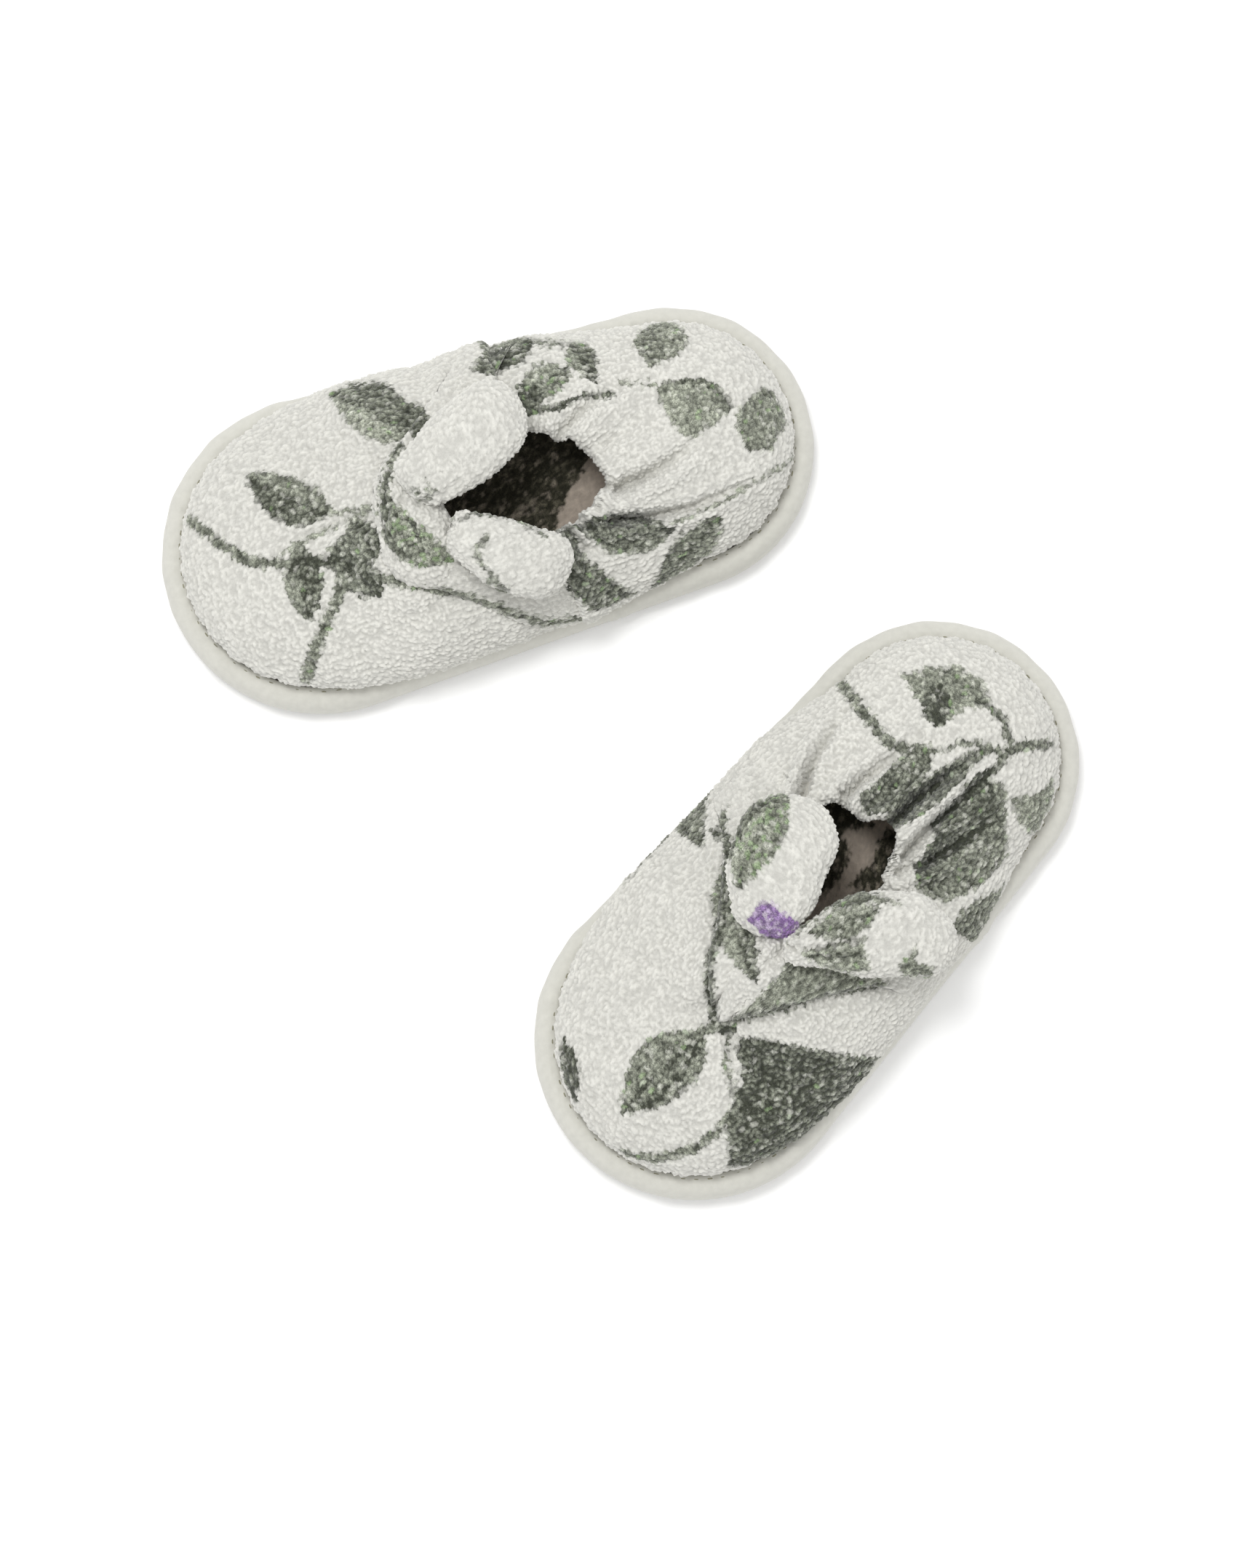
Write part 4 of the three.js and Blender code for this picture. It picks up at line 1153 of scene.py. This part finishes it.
RIGHT = Record(
    name="right", origin=(36.86, -30.53), heading=-131.1, seed=2, centre=np.array([-6.0, 1.0]),
    seams=((-14, 28), (-13, -29)), seam_lift=(0.6, 0.3), vamp_lift=(0.0, 0.0),
    rim=[(-24, 1), (-21, 3.5), (-13, 7), (-5, 7.5), (3, 5), (8, 0), (5, -8), (-3, -12), (-11, -13),
         (-18, -11),
         (-20.5, -8.5), (-19.5, -4.5)],
    creases=[
        crease((-20, 6.8), (-27, 7), (-34, 8.2), (-43, 9), depth=4.4, width=1.15, lip=1.6, skew=0.5),
        crease((-22.5, 1.2), (-30, 1.6), (-38, 3.5), (-47, 5.5), depth=4.4, width=1.15, lip=1.6, skew=0.5),
        crease((-17, 8), (-22, 11), (-28, 13.2), (-36, 14.8), depth=3.6, width=1.2, lip=1.3, skew=0.4),
        crease((-19, -9.5), (-26, -9), (-35, -7), (-40, -6.5), depth=3.8, width=1.05, lip=1.6, skew=0.5),
        crease((-15, -15.5), (-20, -18), (-26, -19.4),
               (-34, -20.5), depth=4.2, width=0.9, lip=1.6, skew=0.75),
        crease((-17, 12), (-22, 19), (-32, 23), depth=0.9, width=1.3, lip=0.5),
        crease((-14, 6), (-22, 5.4), (-32, 5.6), (-43, 7.4), depth=-1.3, width=1.5, lip=0),
        crease((-21, -5), (-27, -3.5), (-33, -2), depth=1.2, width=1.2, lip=0.5),
        crease((-10, -15), (-11, -21), (-14, -28), depth=0.8, width=1.3, lip=0.5),
        crease((-2, -22), (-6, -26), (-11, -29.5), depth=0.8, width=1.3, lip=0.5),
        crease((8, 2), (17, 3.8), (27, 2.5), depth=0.9, width=0.9, lip=0.4),
        crease((28, 1), (20, 8.6), (12, 13.5), (2, 20), depth=0.8, width=1.0, lip=0.5, skew=0.8),
        crease((27, -5.5), (20, -11), (12, -17.5), (3, -24), depth=-0.9, width=2.4, lip=-0.3),
        crease((28, -2), (38, -4), (52, -3), depth=0.5, width=2.0, lip=0.3),
        crease((29, 4), (36, 13), (41, 24), depth=0.6, width=1.6, lip=0.4),
        crease((28, 5), (29, 15), (29, 27), depth=0.6, width=1.6, lip=0.4),
    ],
    vamp=[
        leaf((32, 0.5), (54, -1.5), 12.5, belly=0.42, bend=-0.8, tone=(0.45, 0.38)),
        stem((32, 0), (40, 2.6), (50, 1.2), width=0.9, tone=0.0),
        patch((27.5, 6), (24.5, 10), (20, 18), (15, 26), (12, 30), (20, 34), (38, 32), (47, 24), (49, 21),
              (44.5, 18.5),
              (43, 16), (38, 14), (36.5, 11), (35.5, 13.5), (33, 11.5), (29.5, 6.5), tone=0.12),
        stem((36, 13), (36.5, 19), (38, 28), width=2.6, tone=0.05),
        stem((28, 7), (22, 18), (18, 29), width=2.0, tone=0.05),
        stem((29, 8), (29.5, 18), (29.5, 30), width=0.9, tone=0.0),
        stem((38, 14.5), (44, 15), (50, 13.5), (56, 9.5), (60, 4), width=2.0, tone=0.3),
        stem((28, 4), (33, 7), (37, 13.5), width=1.2, tone=0.3),
        leaf((50, -20), (59, -9.5), 4.2, tone=(0.3, 0.15)),
        patch((-7, -33), (-3, -29), (4.5, -23.5), (5.2, -27), (5, -33), tone=0.25),
        stem((7, -31.8), (20, -31.3), width=1.1, tone=0.1),
        LONG_LEAF,
        patch((9, 2.2), (13, 3.5), (26, 3.6), (18, 9.4), (10, 13.6), (4, 17.5), (1, 20), (4.5, 12),
              (7, 6), tone=0.36),
        stem((28, 0.5), (27.8, 3.5), width=3.2, tone=0.0),
        stem((29, 1), (33, -1), width=2.0, tone=0.3),
        stem((28, 0), (25, -4), (20, -8), (12, -12), (4, -17), (0, -21), (0.6, -24), width=2.0, tone=0.1),
        stem((28, 2), (22, 5), (16, 9.6), (10, 13.5), (2, 20), width=0.8, tone=0.1),
    ],
    heel=[
        patch((-56, -4), (-53, 1), (-50, -3), (-42.5, -4.5), (-44.5, -10), (-46.5, -17), (-51, -13.5),
              (-55, -9.5),
              tone=0.45),
        leaf((-43, -5), (-50, -10), 6, tone=(0.1, 0.2)),
        stem((-55, 14), (-52, 10.5), (-49, 9), width=2.2, tone=0.2),
        stem((-50, 8.5), (-52.6, 5), (-53, -2), width=1.5, tone=0.15),
        stem((-49, 9), (-44, 8.9), (-38, 7.6), width=1.6, tone=0.05),
        stem((-48, 7.5), (-44, 4), (-39, 2.5), width=1.4, tone=0.2),
        stem((-47.5, 6.5), (-45, 1.5), (-40, -1.5), (-37, -3.5), width=1.2, tone=0.25),
        stem((-36, -7), (-34.5, -9.5), (-36, -17), (-37.5, -25.5), width=2.4, tone=0.35),
        patch((-42, 9), (-43.5, 13), (-38, 18), (-33.5, 22), (-25, 22.3), (-18.5, 19), (-16.5, 13), (-20, 10),
              (-30, 11), (-36, 7.6), tone=0.36),
        patch((-41.5, 11), (-38, 17), (-28, 13.5), (-20, 12), (-24, 9), (-34, 7.4), (-43, 8.6), tone=0.2),
        patch((-40, -3), (-36, 0), (-25, 0.2), (-21, -4), (-23, -7.5), (-30, -6.6), (-38, -6), tone=0.25),
        patch((-46, 6), (-41, 5.8), (-32, 5.4), (-25, 3.2), (-21, 1.5), (-21, -0.6), (-30, -0.6),
              (-38, 1.0), tone=0.25),
        patch((-51, 19), (-47, 23), (-40, 25), (-39.5, 20), (-42, 14.5), (-46, 18.5), tone=0.5),
        patch((-29, 26), (-24, 30), (-14, 30), (-15, 23), (-20, 22.5), (-25, 24), tone=0.3),
        stem((-29, 9.6), (-22, 11), (-19, 15), width=1.2, tone=0.0),
        # Painted shade: these three darkest lines lie along the heel's deepest creases and darken them past the
        # print's own tone.
        stem((-36, 15), (-28, 13.4), (-20, 10.4), width=1.7, tone=-0.2),
        stem((-43, 9), (-36, 8), (-28, 7.4), width=1.5, tone=-0.2),
        stem((-38, 2.4), (-30, 1.4), (-22, 0.8), width=1.7, tone=-0.2),
    ],
    insole=[patch((-23, 1), (-20, 1.4), (-14, 3), (-9, 2.6), (-8, 6.5), (-14, 9), (-24, 7),
                  tone=0.04, green=0.0),
            patch((-21, -1.5), (-19.5, -1), (-18, -4), (-15.5, -5), (-14, -1.5), (-9, 0.8), (-2, 0),
                  (4, -8), (-4, -14),
                  (-18, -15), (-21, -9), tone=0.04, green=0.0)],
    straps=[
        ("inner_strap", Record(
            toe=[(-2, 30), (2, 20), (8, 15.2), (15, 10.5), (22, 5.8), (26, 2.5)],
            heel=[(-12, 30), (-9, 22), (-3, 14), (3, 8), (7, 3.5), (9, 1)],
            width=11, puff=0.9, gather=0.3, folds=2,
            marks=[patch((8, 1), (13, 3.5), (26, 3.0), (18, 9.6), (10, 14.2), (4, 18.4), (0, 22), (3, 12),
                         (6, 6),
                         tone=0.45),
                   stem((27, 1.5), (22, 5.6), (16, 9.9), (10, 14), (2, 20), width=0.9, tone=0.05)])),
        ("outer_strap", Record(
            toe=[(-6, -30.5), (0, -22.5), (5, -18), (12, -13), (20, -8.5), (26.5, -2)],
            heel=[(-14, -30), (-9, -22), (-3, -15), (3, -8), (7, -3), (9, 0)],
            width=11, puff=0.6, gather=0.25, folds=2,
            marks=[LONG_LEAF,
                   stem((28, 0), (25, -4), (20, -8), (12, -12.4), (4, -17.4), (0, -21.5), width=2.0,
                        tone=0.1),
                   patch((-5, -26), (0.8, -20.5), (3, -21), (1, -25), tone=0.25)])),
    ],
    knot=Record(
        outline=[(27.5, 0.5), (20, 4.2), (13, 5.6), (7.5, 6), (5, 2), (5.5, -3), (9, -6), (15, -5),
                 (21, -3.6)],
        middle=(12, 0.8), reach=12, height=3.2,
        creases=[crease((7, 1), (12, 1.2), (20, 1), depth=0.9, width=0.8, lip=0.4),
                 crease((8, -5), (13, -2.5), (19, -1.5), depth=0.6, width=0.8, lip=0.3)],
        marks=[LONG_LEAF,
               patch((9, 3), (13, 3.8), (27, 3.4), (18, 9.4), (8, 10), tone=0.45),
               stem((28, 0), (25, -4), (20, -8), width=2.0, tone=0.1)]),
    ears=[
        ("outer_ear", Record(
            root=(9.6, -3.8), tip=(-16.4, -14.4), z=33.2, droop=3.4, arch=0.6, bow=1.6, length=28, width=19.4,
            neck=0.58, full=0.4, thick=4.8,
            creases=[crease((10, -2), (5, -3), (0, -4.5), depth=0.5, width=1.0, lip=0.3)],
            marks=[leaf((-14.5, -18.5), (6.5, -13), 9.5, bend=-1.2, tone=(0.7, 0.45), green=0.16),
                   patch((-13, -19), (-8, -22.5), (0, -23), (3, -18), (-4, -20.5), tone=0.2),
                   patch((3.0, 0.8), (9.8, 1.0), (9.6, -8), (4.0, -8), purple=True, tone=0.4)])),
        ("inner_ear", Record(
            root=(9.0, 1.8), tip=(-14.6, 25.0), z=33.2, droop=5.0, arch=0.5, bow=2.0, length=33, width=16.6,
            neck=0.42, full=0.5, thick=4.7,
            creases=[crease((8, 2), (2, 8.6), (-3, 12), depth=0.8, width=0.7, lip=0.4),
                     crease((8, 3), (4, 10), (1, 15), depth=0.5, width=0.8, lip=0.3)],
            marks=[leaf((-9.5, 10), (4, 2.4), 6.5, bend=0.6, tone=(0.65, 0.35)),
                   patch((-13, 13), (-9, 8), (-2, 2.2), (8, 0.8), (-2, 0.4), (-10, 4), tone=0.3),
                   patch((7.5, 4.5), (5, 5.5), (-2.5, 12), (1, 16.5), (3.6, 15), (6.5, 10), tone=0.55),
                   stem((7, 4.2), (2, 8), (-3, 11.6), width=0.8, tone=0.1),
                   stem((6.8, 5.8), (3.6, 9.2), (0.6, 12.2), width=0.8, tone=0.1),
                   patch((-7.6, 26), (-5.5, 26.4), (-2.2, 22), (-2.6, 20.2), (-7.8, 20.4),
                         (-6.4, 22.6), tone=0.4)])),
    ],
)


def make_slipper(s):
    near, far = (edge_distance(*p) for p in s.seams)
    sole(s)
    binding(s)
    vamp = upper_part(s, "vamp", far - PERIMETER - VAMP_LAP, near + VAMP_LAP, s.vamp, s.seed + 10, s.vamp_lift,
                      "vamp_outer")
    heel = upper_part(s, "heel", near, far, s.heel, s.seed + 20, s.seam_lift, "heel_outer")
    lining = lining_part(s, "vamp_backing", far - PERIMETER + 1, near - 1, "vamp_lining")
    lining = lining_part(s, "heel_backing", near + 1, far - 1, "heel_lining")
    elastic(s, near, far)
    for k, (node, data) in enumerate(s.straps):
        band = strap(s, node.replace("strap", "tie"), data, s.seed + 50 + k, node)
    knot = mound(s, "tied_knot", s.knot, s.seed + 60, "knot")
    for k, (node, data) in enumerate(s.ears):
        ear(s, node, data, s.seed + 70 + k)


for slipper in (LEFT, RIGHT):
    make_slipper(slipper)


# ---------------------------------------------------------------- room, light and camera

def make_floor():
    corners = np.array([(-3, -3, 0), (3, -3, 0), (3, 3, 0), (-3, 3, 0)], float) - (0, 0, 0.00002)
    floor = make_mesh("floor", corners, [(0, 1, 2, 3)])
    paint = bpy.data.materials.new("floor")
    paint.use_nodes = True
    shader = paint.node_tree.nodes["Principled BSDF"]
    shader.inputs["Base Color"].default_value = (0.96, 0.96, 0.96, 1)
    shader.inputs["Roughness"].default_value = 1.0
    shader.inputs["Specular IOR Level"].default_value = 0.0
    floor.data.materials.append(paint)


def area_light(name, at, size, power):
    """A round light that faces the middle of the floor."""
    lamp = bpy.data.lights.new(name, "AREA")
    lamp.shape = "DISK"
    lamp.size, lamp.energy = size, power
    thing = bpy.data.objects.new(name, lamp)
    bpy.context.scene.collection.objects.link(thing)
    thing.location = at
    x, y, z = at
    thing.rotation_euler = (math.atan2(math.hypot(x, y), z), 0, math.atan2(x, -y))


def make_room():
    scene = bpy.context.scene
    scene.view_settings.view_transform = "Standard"
    scene.view_settings.look = "None"
    scene.view_settings.exposure = 0.0
    room = bpy.data.worlds.new("room")
    room.use_nodes = True
    room.node_tree.nodes["Background"].inputs["Color"].default_value = (1, 1, 1, 1)
    room.node_tree.nodes["Background"].inputs["Strength"].default_value = 0.95
    scene.world = room
    area_light("key", (-0.24, 0.32, 1.5), 0.5, 10.3)


def make_camera():
    lens = bpy.data.cameras.new("camera")
    lens.sensor_width = SENSOR
    lens.sensor_fit = "AUTO"
    lens.lens = SENSOR * CAMERA_DISTANCE / VIEW_HEIGHT
    lens.clip_start, lens.clip_end = 0.05, 20
    thing = bpy.data.objects.new("camera", lens)
    thing.location = CAMERA_PLACE / 1000
    thing.rotation_euler = (math.pi / 2 - CAMERA_TILT, 0, 0)
    bpy.context.scene.collection.objects.link(thing)
    bpy.context.scene.camera = thing


make_floor()
make_room()
make_camera()
